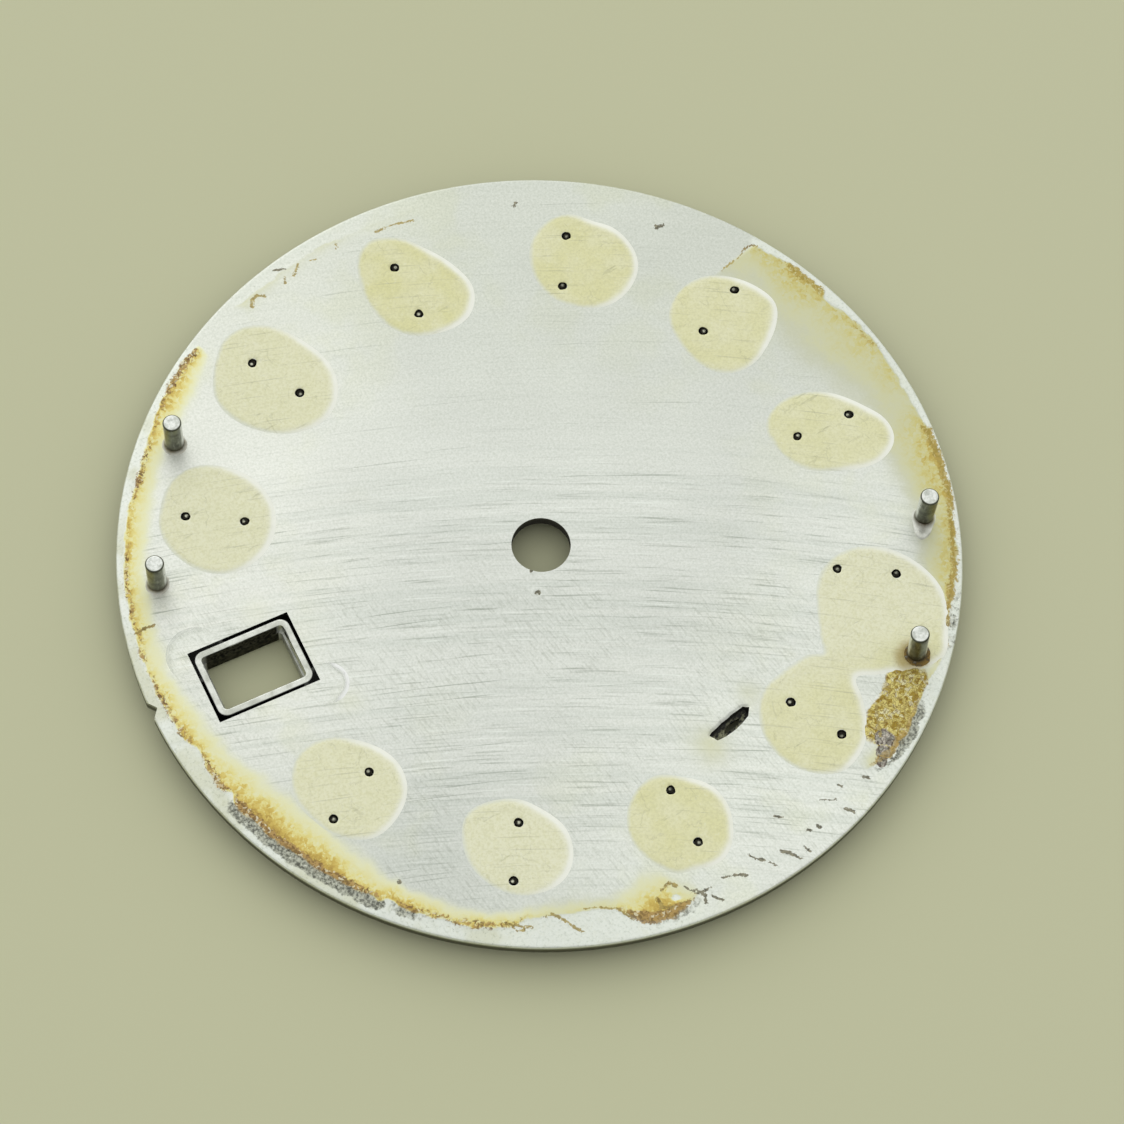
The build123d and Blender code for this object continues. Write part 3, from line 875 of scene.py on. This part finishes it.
lines = {
    "scar": (
        (0.05, ((270.7, 13.19), (272.5, 13.27), (274, 13.47))),
        (0.06, ((275.7, 12.89), (276.2, 13.1), (277.2, 13.33))),
        (0.04, ((277.7, 13.47), (278.1, 13.67))),
        (0.05, ((279.9, 13.36), (280.8, 13.61), (281.5, 13.94))),
        (0.05, ((282.8, 13.61), (283.1, 13.94))),
        (0.05, ((286.3, 13.41), (286.5, 13.56))),
        (0.05, ((291, 13.67), (291.4, 13.94))),
        (0.05, ((289.5, 12.86), (290.4, 13.11), (291.1, 13.22))),
        (0.05, ((293, 12.93), (293.2, 13.09))),
        (0.05, ((282.3, 12.26), (283.3, 12.48))),
        (0.05, ((296.3, 13.39), (296.7, 13.6))),
        (0.05, ((284.9, 13.33), (285.1, 13.42))),
        (0.05, ((266.5, 13.2), (267.4, 13.5), (267, 13.75))),
        (0.05, ((268.2, 13.6), (269.3, 13.85))),
        (0.04, ((265.2, 13), (266.6, 13.35), (268.6, 13.3))),
        (0.04, ((305.2, 12), (306, 12.2))),
        (0.08, ((45.3, 13.16), (45.8, 13.1), (46.2, 13.03))),
        (0.06, ((68, 13.3), (68.5, 13.2))),
        (0.05, ((104.6, 13.75), (106, 13.95))),
    ),
    "burnt": (
        (0.05, ((239.4, 13.48), (240.6, 13.5), (242.1, 13.56), (243, 13.52))),
        (0.05, ((244.8, 13.19), (245.7, 13.11), (246.7, 13.19), (247.5, 13.33), (248.1, 13.44),
                (249.8, 13.74))),
        (0.035, ((250.2, 12.98), (252, 12.97), (253.8, 13.06), (255, 13.11), (255.9, 13.33),
                 (257.1, 13.61))),
        (0.04, ((240.3, 13.56), (241, 13.68), (242, 13.66))),
        (0.07, ((262, 12.83), (263.4, 12.7), (264, 12.85))),
        (0.09, ((260.9, 13.1), (261.3, 13.42), (262.6, 13.5))),
        (0.035, ((31.2, 13.94), (32.2, 13.81), (32.7, 13.5), (32.4, 13.28), (32.9, 12.94), (33.2, 12.72),
                 (33.6, 12.44))),
        (0.05, ((167.9, 13.2), (168.1, 13.5), (168.6, 13.9))),
        (0.04, ((84, 13.28), (87, 13.36), (90, 13.33))),
        (0.05, ((102.6, 13.65), (103.9, 13.4), (104.3, 13.36))),
        (0.04, ((105.5, 13.5), (106.2, 13.3))),
        (0.06, ((109.8, 13.4), (110.6, 13.62), (111.6, 13.6), (112.4, 13.42))),
        (0.04, ((100.1, 13.4), (100.9, 13.5))),
        (0.035, ((96.1, 13.6), (96.5, 13.35))),
        (0.06, ((303, 13.1), (305, 12.75), (307, 12.5))),
    ),
}

# Spots without lacquer and ashen ones, by heading, radius and size, dark and pale ones by x, y
# and size, and the field of crystals by the headings and radii between which it rises and falls

bare_spots = ((196.5, 13.62, 0.12), (223, 13.62, 0.16), (263.4, 13.2, 0.12), (263.9, 13.25, 0.1),
              (188, 13.62, 0.15))
ashen_spots = ((302.8, 13.3, 0.42), (301.2, 13.5, 0.34), (299.8, 13.62, 0.22))
punch_place = (-0.87, -1.55)
burr_place = (-0.7, -0.78)
dark_spots = ((*punch_place, 0.11), (-0.7, -0.75, 0.1), (9.1, 9.35, 0.05), (-9.36, -8.88, 0.13),
              (-5.9, -6.7, 0.05), (10.43, -7.16, 0.1))
pale_spots = ((1.9, -8.9, 0.9, 0.09), (3.9, -7.9, 0.6, 0.09), (-9.7, 1.8, 0.7, 0.05), (-8.2, -2.4, 0.7, 0.05))
net_headings = (300.5, 303.5, 313, 316.5)
net_radii = (12.3, 12.6, 13.55, 13.8)

plate_thickness = 0.4
rim_radius = max(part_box("dial_plate")[1]) / mm
edge_rounding = 0.07
rim_spacing = 0.062
hole_spacing = 0.055
field_spacing = 0.142
slot_waves = 16
slot_spacing = 0.05
slot_bevel = 0.1
slot_sheet_bottom = -0.428
tear_size = (0.36, 0.1)
tear_turn = 17.5
tear_place = (2.93, -8.47)
punch_depth = 0.03
burr_height = 0.03
bevel_depth = 0.06
notch_box = ((-15, -0.6), (-13.5, 0.6))
marks_radius = 13.2


def rim_marks(x, y):
    """The strengths of each kind of ageing at points of the back, from the rim's story. The edge
    wobbles by fine patches, and the crust and pits are broken up by them too."""
    radius = np.hypot(x, y)
    heading = np.degrees(np.arctan2(y, x)) % 360
    lean = np.where(heading < 60, (radius - marks_radius) * 1.4, 0)
    edge, reach, stain, dull, crust, pits = [
        np.interp(heading + lean, rim_story[:, 0], column, period=360) for column in rim_story[:, 1:].T]
    ragged = 0.22 * (fine_patches(x, y, 0.35, 11, 4) - 0.5)
    inward = edge + ragged - radius
    share = np.clip(inward / reach, 0, 1)
    uneven = 0.5 + fine_patches(x, y, 1.1, 21, 4)
    stain = stain * smooth_step(inward, -0.02, 0.05) * (1 - share) ** (1.5 + 0.9 * dull) * uneven
    for spot_x, spot_y, size, strength in pale_spots:
        away = np.hypot(x - spot_x, y - spot_y) / size
        stain = np.maximum(stain, strength * np.exp(-away ** 2) * uneven)
    crust = crust * np.exp(-((inward - 0.08) / 0.19) ** 2)
    speckle = fine_patches(x, y, 0.22, 31, 3)
    pits = pits * smooth_step(inward, 0.1, -0.06) * smooth_step(inward, -0.42, -0.2) * (0.55 + 0.7 * speckle)
    ageing = np.interp(heading, rim_story[:, 0], np.minimum(1, 3 * rim_story[:, 3]), period=360)
    bare = smooth_step(inward, 0.0, -0.08) * ageing
    net = np.interp(heading, net_headings, (0, 1, 1, 0)) * np.interp(radius + ragged, net_radii, (0, 1, 1, 0))

    def spot(middle_x, middle_y, size, raggedness, core):
        """1 in a spot's core, whose radius is that share of its size, and 0 past its ragged edge."""
        away = np.hypot(x - middle_x, y - middle_y)
        return smooth_step(away + raggedness * ragged, size, size * core)

    for spot_heading, spot_radius, size in ashen_spots:
        here = spot(*at_heading(spot_heading, spot_radius), size, 1.2, 0.5)
        net, pits = np.maximum(net, here), np.where(here > 0, 0.4 * np.sqrt(here), pits)
    for spot_heading, spot_radius, size in bare_spots:
        hidden = spot(*at_heading(spot_heading, spot_radius), size, 1.0, 0.6)
        stain, crust, pits = stain * (1 - hidden), crust * (1 - hidden), pits * (1 - hidden)
        bare = np.maximum(bare, hidden)
    marks = {"stain": stain, "dull": dull, "crust": crust, "pits": pits, "bare": bare, "net": net,
             "scar": np.zeros(len(x)), "burnt": np.zeros(len(x))}
    for dark_spot in dark_spots:
        marks["scar"] = np.maximum(marks["scar"], spot(*dark_spot, 0.6, 0.4))
    frayed = 0.25 + 1.5 * fine_patches(x, y, 0.3, 121, 3)
    for key, drawn in lines.items():
        for width, line in drawn:
            across = distance_to_line(x, y, line) / (width * frayed)
            marks[key] = np.maximum(marks[key], smooth_step(across, 1.3, 0.5))
    return marks


def plate_height(x, y, marks, slot):
    """The back is flat but for its rounded rim, a crust that stands up, pits, a punch mark, a burr
    at the centre hole and a bevel down into the slot."""
    inset = np.clip(rim_radius - np.hypot(x, y), 0, edge_rounding)
    roll = edge_rounding - np.sqrt(edge_rounding ** 2 - (edge_rounding - inset) ** 2)
    lumps = fine_patches(x, y, 0.18, 41, 2)
    relief = 0.016 * marks["crust"] * lumps + 0.006 * marks["stain"] * lumps + 0.02 * marks["net"] * lumps
    relief = relief - 0.03 * marks["pits"] * lumps - 0.005 * marks["bare"]
    away = np.hypot(x - punch_place[0], y - punch_place[1])
    punch = 0.012 * np.exp(-((away - 0.15) / 0.06) ** 2) - punch_depth * np.exp(-(away / 0.09) ** 2)
    away = np.hypot(x - burr_place[0], y - burr_place[1])
    burr = burr_height * lumps * np.exp(-(away / 0.13) ** 2)
    slot_x, slot_y = slot.mean(0)
    near = np.flatnonzero(np.hypot(x - slot_x, y - slot_y) < 1.3)
    bevel = np.zeros(len(x))
    bevel[near] = smooth_step(distance_to(np.c_[x, y][near], [slot]), slot_bevel, 0.0)
    upper = smooth_step(y - slot_y - 0.315 * (x - slot_x), -0.05, 0.12)
    return relief + punch + burr - roll - bevel_depth * bevel * upper * (0.6 + 0.8 * lumps)


def plate_field(outer, holes, slot):
    """Points over the plate, close together at the rim, round the slot and at small marks, and
    clear of the holes and of the notch in the rim."""
    rim_rows = rim_radius - np.r_[0.012, 0.035, 0.07, np.arange(0.12, 1.95, 0.055)]
    count = int(2 * np.pi * rim_radius / rim_spacing)
    turn = np.linspace(0, 2 * np.pi, count, endpoint=False)
    rim_field = [np.c_[row * np.cos(turn + 0.5 * k / count), row * np.sin(turn + 0.5 * k / count)]
                 for k, row in enumerate(rim_rows)]
    inner = even_field(outer, field_spacing)
    inner = inner[np.hypot(*inner.T) < rim_rows[-1] - 0.07]
    patch = even_field(np.array([(-0.36, -0.36), (0.36, 0.36)]), 0.045)
    detail = []
    for x, y, size in dark_spots:
        inner = inner[np.hypot(*(inner - (x, y)).T) > size + 0.2]
        detail.append(patch[np.hypot(*patch.T) < size + 0.15] + (x, y))
    soft_slot = softened(slot, slot_waves, slot_spacing)
    inner = inner[~inside(inner, moved_out(soft_slot, 0.16))]
    bevels = [moved_out(soft_slot, reach) for reach in (0.035, 0.07, 0.105)]
    field = np.concatenate([*rim_field, inner, *detail, *bevels])
    keep = outside(field, holes)
    notch = divided(outer, 0.02)
    notch = notch[np.hypot(*notch.T) < rim_radius - 0.01]
    low, high = notch_box
    past = ((field > low) & (field < high)).all(1) & (np.hypot(*field.T) > rim_radius - 0.3)
    keep[past] &= inside(field[past], outer) & (distance_to(field[past], [notch]) > 0.03)
    near = np.flatnonzero(keep & (np.hypot(*field.T) < marks_radius))
    keep[near[distance_to(field[near], holes) < 0.03]] = False
    return field[keep]


def make_plate(materials):
    """The plate: its outlines, filled and shaped on top, with metal darkened below by painted shade,
    black lacquer, or dark residue and painted shade on each wall. Gives the slot's outline and the
    middles of the holes for the markers' feet."""
    outer, *holes = rings("dial_plate", -plate_thickness)
    outer = divided(outer, rim_spacing, rim_radius)
    holes = [clean_ring(ring, hole_spacing) for ring in holes]
    slot = next(ring for ring in holes if not is_round(ring) and np.hypot(*ring.mean(0)) < 10)
    field = plate_field(outer, holes, slot)
    points, faces, top, kinds = sheet_solid([outer, *holes], field, -plate_thickness)
    x, y = points[:, 0], points[:, 1]
    marks = rim_marks(x, y)
    points[top, 2] = plate_height(x, y, marks, slot)[top]
    marks = {key: np.where(top, values, 0) for key, values in marks.items()}
    hole_materials = [2 if np.ptp(ring, axis=0).max() > 3 else 3 for ring in holes]
    face_material = np.array([0, 0, 1, *hole_materials])[kinds]
    piece = add_piece("plate_metal", points, faces, materials, face_material, marks)
    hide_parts("dial_plate")
    return slot, [ring.mean(0) for ring in holes if is_round(ring) and np.ptp(ring[:, 0]) < 0.5]


def make_slot_shade_sheet(slot, material):
    """A thin ragged black sheet across most of the slot, with a hole near its middle: torn lacquer at
    the edges, and a dark sheet of painted shade where the slot is open.
    """
    outline = moved_out(softened(slot, slot_waves, slot_spacing), 0.02)
    hole = circle(0, 0, 1, 40)
    hole = hole * (1 + 0.5 * (fine_patches(hole[:, 0], hole[:, 1], 0.7, 61, 3) - 0.5))[:, None]
    hole = turned(hole * tear_size, math.radians(tear_turn)) + tear_place
    field = inner_field(outline, [hole], slot_spacing, slot_spacing / 2)
    points, faces, top, _ = sheet_solid([outline, hole], field, slot_sheet_bottom)
    lumps = fine_patches(points[:, 0], points[:, 1], 0.22, 71, 3)
    points[top, 2] = -plate_thickness + 0.22 * np.clip(lumps[top] - 0.35, 0, 1)
    marks = {"middle": smooth_step(distance_to(points[:, :2], [outline]), 0.04, 0.14)}
    piece = add_piece("slot_shreds_and_shade", points, faces, [material], marks=marks, sharp=60)


# Cement films and clear dabs: each film's depth of colour, the heading the films' painted highlights
# face, and each dab's, with how strong its painted highlight is. One film is two that have run together.

film_height = 0.045
film_bottom = -0.02
film_depths = {"01": 0.35, "02": 0.25, "04": 0.3, "05": 0.15, "06": 0.85, "07_08": 0.3, "09": 0.7,
               "10": 0.75, "11": 0.9, "12": 1.0}
film_light = -15.0
double_film = "07_08"
double_middles = ((5.4, -9.6), (9.2, -7.0))
double_split = -8.2
amber_place = (9.42, -8.93)
dab_lights = {"upper": (120.0, 0.35), "lower": (-15.0, 1.0)}


def facing_edge(points, middle, heading):
    """1 where a point lies from a middle towards a heading, -1 on the far side."""
    away = points - middle
    return (away @ at_heading(heading, 1)) / np.maximum(np.linalg.norm(away, axis=1), 0.01)


def film_shape(node, waves, spacing, openings=()):
    """A thin film over its node's outline: it rises steeply to a ridge along its edge, dips behind
    it and swells a little towards the middle. It is open over the markers' feet."""
    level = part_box(node)[1].z / mm
    outer, *holes = rings(node, level)
    outer = softened(outer, waves, spacing)
    holes = [clean_ring(ring, spacing * 0.8, -0.09) for ring in holes if np.ptp(ring[:, 0]) > 0.6]
    for middle in openings:
        if inside(middle[None], outer)[0]:
            ring = circle(0, 0, 1, 22)
            uneven = 0.14 + 0.05 * patches(ring[:, 0] + 3 * middle[0], ring[:, 1] + 3 * middle[1], 0.8, 55)
            holes.append(ring * uneven[:, None] + middle)
    field = inner_field(outer, holes, spacing * 1.3, spacing * 0.5)
    points, faces, top, _ = sheet_solid([outer, *holes], field, film_bottom)
    reach = distance_to(points[:, :2], [outer])
    rise = smooth_step(reach, -0.03, 0.24)
    if holes:
        rise = np.minimum(rise, smooth_step(distance_to(points[:, :2], holes), -0.02, 0.06))
    swell = smooth_step(reach, 0.2, 1.4)
    lumps = fine_patches(points[:, 0], points[:, 1], 0.6, 51, 3)
    height = film_height * rise * (0.42 + 0.2 * np.exp(-((reach - 0.24) / 0.14) ** 2) + 0.3 * swell)
    points[top, 2] = np.minimum(height + 0.004 * lumps * rise, level)[top]
    return points, faces, outer, reach


def make_film(hours, openings, material):
    """A film of cement with a painted highlight, whiter along the edge that faces the light. The
    double film has an edge for each of its middles and is amber beside a dial foot."""
    node = "cement_" + hours
    points, faces, outer, reach = film_shape(node, 30 if hours == double_film else 14, 0.06, openings)
    flat = points[:, :2]
    y = flat[:, 1]
    wobble = fine_patches(flat[:, 0], y, 0.7, 81, 3)
    if hours == double_film:
        lower, upper = [facing_edge(flat, place, film_light) for place in double_middles]
        facing = np.where(y < double_split, lower, upper)
        away = np.hypot(*(flat - amber_place).T)
        amber = 0.7 * smooth_step(away + 0.3 * (wobble - 0.5), 0.85, 0.38) ** 1.5
        depth = np.maximum(0.12 + 0.6 * smooth_step(-y, 7.4, 9.0), amber)
    else:
        facing = facing_edge(flat, outer.mean(0), film_light)
        amber = np.zeros(len(flat))
        depth = np.full(len(flat), film_depths[hours])
    lit = smooth_step(facing, -0.3, 0.7)
    width = 0.06 + 0.05 * lit + 0.06 * wobble
    # The bead mark is a painted highlight along the edge that faces film_light.
    bead_highlight = (0.05 + 0.95 * lit) * np.exp(-((reach - 0.06) / width) ** 2) * (0.7 + 0.6 * wobble) * (1 - amber)
    thin = smooth_step(reach / (0.14 * (0.4 + 1.2 * wobble)), 1.0, 0.15) * (1 - amber)
    marks = {"bead_highlight": np.clip(bead_highlight, 0, 1), "thin": thin, "depth": depth, "amber": amber}
    piece = add_piece("film_" + hours, points, faces, [material], marks=marks, sharp=60)
    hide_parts(node)


def make_dab(name, material):
    """A dab of clear glue, seen only by a painted highlight along the edge that faces its heading."""
    node = "frame_dab_" + name
    points, faces, outer, reach = film_shape(node, 12, 0.05)
    heading, strength = dab_lights[name]
    lit = smooth_step(facing_edge(points[:, :2], outer.mean(0), heading), 0.0, 0.6)
    above = points[:, 2] > film_bottom + 0.001
    # The bead mark is a painted highlight on the edge that faces the dab's heading in dab_lights.
    bead_highlight = strength * lit * np.exp(-(reach / (0.07 + 0.1 * lit)) ** 4) * above
    marks = {"bead_highlight": bead_highlight, "faint": np.exp(-((reach - 0.06) / 0.07) ** 2) * above}
    piece = add_piece("glue_dab_" + name, points, faces, [material], marks=marks, sharp=60)
    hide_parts(node)


# Feet and solder. Each foot: its distance from the rim, its clock angle, how far it leans towards
# the middle, how far its solder reaches, and how stained that is.

foot_radius = 0.32
root_height = -0.01
solder_height = 0.13
round_columns = 72
feet = {
    "08": (1.3, 48.2, 0.0, 0.12, 0.3),
    "12": (1.35, 71.5, 0.0, 0.1, 0.3),
    "38": (1.15, 227.2, 3.0, 0.16, 1.0),
    "42": (1.2, 249.6, 0.0, 0.1, 0.1),
}
foot_profile = (
    (0.32, -0.01), (0.32, 0.1), (0.32, 0.3), (0.32, 0.6), (0.32, 0.9), (0.32, 1.2), (0.32, 1.5),
    (0.32, 1.585), (0.315, 1.605), (0.30, 1.625), (0.28, 1.64), (0.262, 1.648), (0.24, 1.65),
    (0.16, 1.647), (0.08, 1.645),
)
shade_heading = 245.0
run_foot = "42"
run_heading = 236.0
tip_profile = ((0.108, -0.3), (0.108, -0.016), (0.102, -0.009), (0.07, -0.005), (0.035, -0.003),
               (0.015, -0.002))


def stood_at(points, name):
    """Points made round an upright axis, moved to a foot's root, leaning towards the middle and
    cut flat on the plate."""
    rim_gap, clock_angle, lean, _, _ = feet[name]
    heading, tilt = math.radians(90 + clock_angle), math.radians(lean)
    out = np.array((math.cos(heading), math.sin(heading), 0))
    aside = np.array((-math.sin(heading), math.cos(heading), 0))
    up = np.array((0, 0, 1))
    axes = np.array((out * math.cos(tilt) + up * math.sin(tilt), aside,
                     up * math.cos(tilt) - out * math.sin(tilt)))
    placed = np.c_[turned(points[:, :2], -heading), points[:, 2]] @ axes + out * (rim_radius - rim_gap)
    placed[:, 2] = np.maximum(placed[:, 2], root_height)
    return placed


def make_foot(name, material):
    """A round pin with a rolled end, dished a little, and small dents down its side."""
    points, faces = lathe(foot_profile, round_columns)
    x, y, z = points.T
    radius, turn = np.hypot(x, y), np.arctan2(y, x)
    dents = fine_patches(turn * foot_radius * 4, z * 1.5 + 3 * int(name), 0.4, 91, 3)
    side = radius > foot_radius - 0.002
    points[:, :2] *= np.where(side, 1 - 0.012 * dents, 1)[:, None]
    face = smooth_step(radius, 0.285, 0.262) * (z > 1.5)
    # edge: painted shade, a dark ring round the rolled edge of the end.
    edge = np.exp(-((radius - 0.302) / 0.016) ** 2) * (z > 1.59)
    root = smooth_step(z + 0.12 * (dents - 0.5), 0.4, 0.08) * side
    # The sides turned away from shade_heading get a painted highlight, the wiped mark.
    toward = np.cos(turn - math.radians(shade_heading))
    painted_side_highlight = smooth_step(toward + 0.3 * (dents - 0.5), 0.62, 0.3) * side * smooth_step(z, 0.1, 0.4)
    marks = {"face": face, "edge": edge, "root": root, "painted_side_highlight": painted_side_highlight}
    piece = add_piece("foot_" + name, stood_at(points, name), faces, [material], marks=marks, sharp=50)
    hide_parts("dial_foot_" + name)


def make_solder(name, material):
    """A hollow skirt round a foot, its reach uneven, and at one foot a low run beside it.
    From the foot outwards its height falls as (1 - t)^1.8 while t goes from 0 to 1."""
    turn = np.linspace(0, 2 * np.pi, round_columns, endpoint=False)
    uneven = fine_patches(3 * np.cos(turn), 3 * np.sin(turn) + 7 * int(name), 1.0, 95, 3)
    reach = feet[name][3] * (0.8 + 0.45 * uneven)
    t = np.linspace(0, 1, 10)[:, None]
    height = solder_height * (1 - t) ** 1.8 + np.zeros(round_columns)
    if name == run_foot:
        away = (turn - math.radians(run_heading) + np.pi) % (2 * np.pi) - np.pi
        reach = reach + 0.42 * np.exp(-(away / 0.55) ** 2)
        arch = np.sqrt(np.clip(1 - (2 * t - 1) ** 4, 0, 1))
        height = np.maximum(height, 0.075 * np.exp(-(away / 0.5) ** 2) * arch)
    low = np.full((1, round_columns), root_height)
    height = np.vstack([low, height[:-1], low])
    radius = np.vstack([np.full((1, round_columns), 0.3), foot_radius - 0.005 + t * reach])
    points = np.stack([radius * np.cos(turn), radius * np.sin(turn), height], -1).reshape(-1, 3)
    root = np.broadcast_to(np.vstack([[[1.0]], np.exp(-(t / 0.35) ** 2)]), radius.shape)
    faces = grid_faces(len(radius), round_columns, close_rows=True)[:, ::-1]
    marks = {"root": root.ravel()}
    piece = add_piece("solder_" + name, stood_at(points, name), faces, [material], marks=marks, sharp=60)
    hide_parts("foot_solder_" + name)


def make_tips(places, material):
    """The near-black ends of the markers' feet, each a low dome in the middle of its hole."""
    points, faces = lathe(tip_profile, 20)
    places = np.array(places)
    number = np.arange(len(places))[:, None]
    turn, shift = 2.4 * number, 0.02 + 0.03 * ((number * 7) % 5) / 4
    away = np.hypot(points[:, 0] - shift * np.cos(turn), points[:, 1] - shift * np.sin(turn))
    # point: a painted highlight, a small pale spot on each tip.
    point = smooth_step(away, 0.065, 0.025) * (points[:, 2] > -0.1) * (1 - 0.6 * ((number * 5) % 4) / 3)
    all_points = (points[None] + np.c_[places, np.zeros(len(places))][:, None]).reshape(-1, 3)
    all_faces = (faces[None] + len(points) * np.arange(len(places))[:, None, None]).reshape(-1, 3)
    piece = add_piece("marker_foot_tips", all_points, all_faces, [material], marks={"point": point.ravel()})


# The date frame: its section, each point as half the length and half the width of a rectangle, its
# corners' radius and its height

frame_middle = (-10.55, 0.0)
frame_section = (
    (1.70, 1.25, 0.35, -0.43), (1.70, 1.25, 0.35, -0.05), (1.694, 1.244, 0.345, -0.022),
    (1.672, 1.222, 0.33, -0.004), (1.64, 1.19, 0.30, 0.0), (1.55, 1.10, 0.22, -0.004),
    (1.505, 1.055, 0.18, 0.0), (1.482, 1.032, 0.15, -0.006), (1.466, 1.016, 0.12, -0.025),
    (1.46, 1.01, 0.1, -0.055), (1.46, 1.01, 0.1, -0.41), (1.45, 1.0, 0.1, -0.43),
    (1.40, 0.95, 0.1, -0.43), (1.39, 0.94, 0.1, -0.44), (1.39, 0.94, 0.1, -0.97),
    (1.395, 0.945, 0.1, -0.99), (1.535, 1.085, 0.15, -1.125), (1.55, 1.10, 0.15, -1.13),
    (2.03, 1.58, 0.35, -1.13), (2.06, 1.61, 0.36, -1.12), (2.24, 1.79, 0.49, -0.94),
    (2.25, 1.80, 0.5, -0.92), (2.25, 1.80, 0.5, -0.44), (2.24, 1.79, 0.49, -0.43),
)
corner_points = 10
side_parts = 24


def rounded_rectangle(half_length, half_width, corner):
    """A rectangle's outline with round corners: quarter circles, joined by straight runs."""
    turn = np.linspace(0, np.pi / 2, corner_points)
    quarters = []
    for number, (side_x, side_y) in enumerate(((1, 1), (-1, 1), (-1, -1), (1, -1))):
        angle = turn + number * np.pi / 2
        quarters.append(np.c_[side_x * (half_length - corner) + corner * np.cos(angle),
                              side_y * (half_width - corner) + corner * np.sin(angle)])
    share = (np.arange(1, side_parts) / side_parts)[:, None]
    outline = []
    for quarter, ahead in zip(quarters, quarters[1:] + quarters[:1]):
        outline += [quarter, quarter[-1] * (1 - share) + ahead[0] * share]
    return np.concatenate(outline)


def make_date_frame(material):
    """The section carried round the window's rounded rectangle, with slight dents along its lip.
    Lacquer has blackened its outside in the plate's opening, and grime its inner walls."""
    loops = [rounded_rectangle(*sizes) for *sizes, _ in frame_section]
    heights = np.repeat([row[-1] for row in frame_section], len(loops[0]))
    points = np.c_[np.concatenate(loops), heights] + (*frame_middle, 0)
    x, y, z = points.T
    lip = z > -0.03
    points[lip, 2] -= 0.012 * fine_patches(x, y, 0.5, 101, 3)[lip]
    within = (np.abs(x - frame_middle[0]) < 1.475) & (np.abs(y - frame_middle[1]) < 1.025)
    # gap: black on the frame's outside in the plate's opening, lacquer and painted shade in the narrow gap.
    gap = ~within & (z < -0.015) & (z > -0.6)
    left, right = x < frame_middle[0] - 1.3, x > frame_middle[0] + 1.3
    # How strong the painted shade is on each inner wall: full on the +y side, 0.55 on the -x side, 0.4 on the
    # -y side, and on the +x side none above the ledge and 0.35 below.
    share = np.where(right, np.where(z > -0.42, 0.0, 0.35), np.where(left, 0.55, np.where(y > 0, 1.0, 0.4)))
    marks = {"gap": gap, "painted_wall_shade": within * (z < -0.03) * (z > -1.05) * share}
    faces = grid_faces(len(loops), len(loops[0]), close_rows=True)
    piece = add_piece("window_frame", points, faces, [material], marks=marks, sharp=30)
    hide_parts("date_frame")


# Floor and light

floor_height = cad_box[0].z / mm
floor_side = 600.0
studio_heading = (0.183, 0.683, 0.707)
studio_colour = (0.98, 1.0, 0.97)
lamp_place = (57, 323, 229)
lamp_size = 300
lamp_power = 0.14


def make_floor():
    paint = Paint("floor")
    colour = paint.mix(paint.noise(0.02, 1, 1), (0.59, 0.59, 0.395), (0.61, 0.61, 0.41))
    corners = floor_side * np.array([(-1, -1), (1, -1), (1, 1), (-1, 1)])
    mesh = bpy.data.meshes.new("floor")
    mesh.from_pydata(np.c_[corners, np.full(4, floor_height)] * mm, [], [(0, 1, 2, 3)])
    mesh.materials.append(paint.done(colour, 0.9))
    floor = linked("floor", mesh)


def make_light():
    """A pale studio: bright overhead and past 12 o'clock, dimmer towards 6 o'clock, and one soft
    lamp past 12 o'clock."""
    studio = Paint("studio", bpy.data.worlds)
    directions = {0: studio.node("TexCoord", {}, {}, "Generated"), 1: studio_heading}
    facing = studio.node("VectorMath", {"operation": "DOT_PRODUCT"}, directions, "Value")
    strength = 0.48 + 0.47 * facing.rise(0, 0.62)
    back = studio.node("Background", {}, {"Color": (*studio_colour, 1), "Strength": strength})
    studio.node("OutputWorld", {}, {"Surface": back})
    bpy.context.scene.world = studio.owner
    data = bpy.data.lights.new("key", "AREA")
    data.shape = "DISK"
    data.size = lamp_size * mm
    data.energy = lamp_power
    lamp = linked("key", data)
    lamp.location = Vector(lamp_place) * mm
    lamp.rotation_euler = (-Vector(lamp_place)).to_track_quat("-Z", "Y").to_euler()
    bpy.context.scene.view_settings.view_transform = "Standard"


make_camera()
make_floor()
make_light()

plate_materials = [
    plate_back_paint(),
    # The rim's cut wall is darker towards its bottom: painted shade under the raised rim.
    wall_paint("cut_metal", (0.36, 0.37, 0.30), (0.09, 0.09, 0.06), 0.9, 0.35, (-0.22, -0.1)),
    wall_paint("window_lacquer", (0.012, 0.012, 0.012), (0.01, 0.01, 0.01), 0.0, 0.3),
    # Walls of the round holes and the slot: near black, partly residue and partly painted shade.
    wall_paint("hole_residue_and_shade", (0.05, 0.045, 0.03), (0.02, 0.018, 0.014), 0.0, 0.6),
]
slot_ring, marker_holes = make_plate(plate_materials)
# A dark sheet in the slot: torn lacquer and painted shade.
make_slot_shade_sheet(slot_ring, slot_shade_paint())

cement = cement_paint()
for film_hours in film_depths:
    make_film(film_hours, marker_holes, cement)
clear_glue = clear_dab_paint()
for dab_name in dab_lights:
    make_dab(dab_name, clear_glue)

foot_metal = foot_paint()
for foot_name, foot_facts in feet.items():
    make_foot(foot_name, foot_metal)
    make_solder(foot_name, solder_paint("solder_" + foot_name, foot_facts[-1]))
make_tips(marker_holes, tip_paint())
make_date_frame(frame_paint())

carried_over = {"front_coat": lacquer_paint(), "minute_track": print_paint(), "hour_marker": marker_paint()}
for node_name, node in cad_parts.items():
    for start, material in carried_over.items():
        if node_name.startswith(start):
            node.material_slots[0].material = material
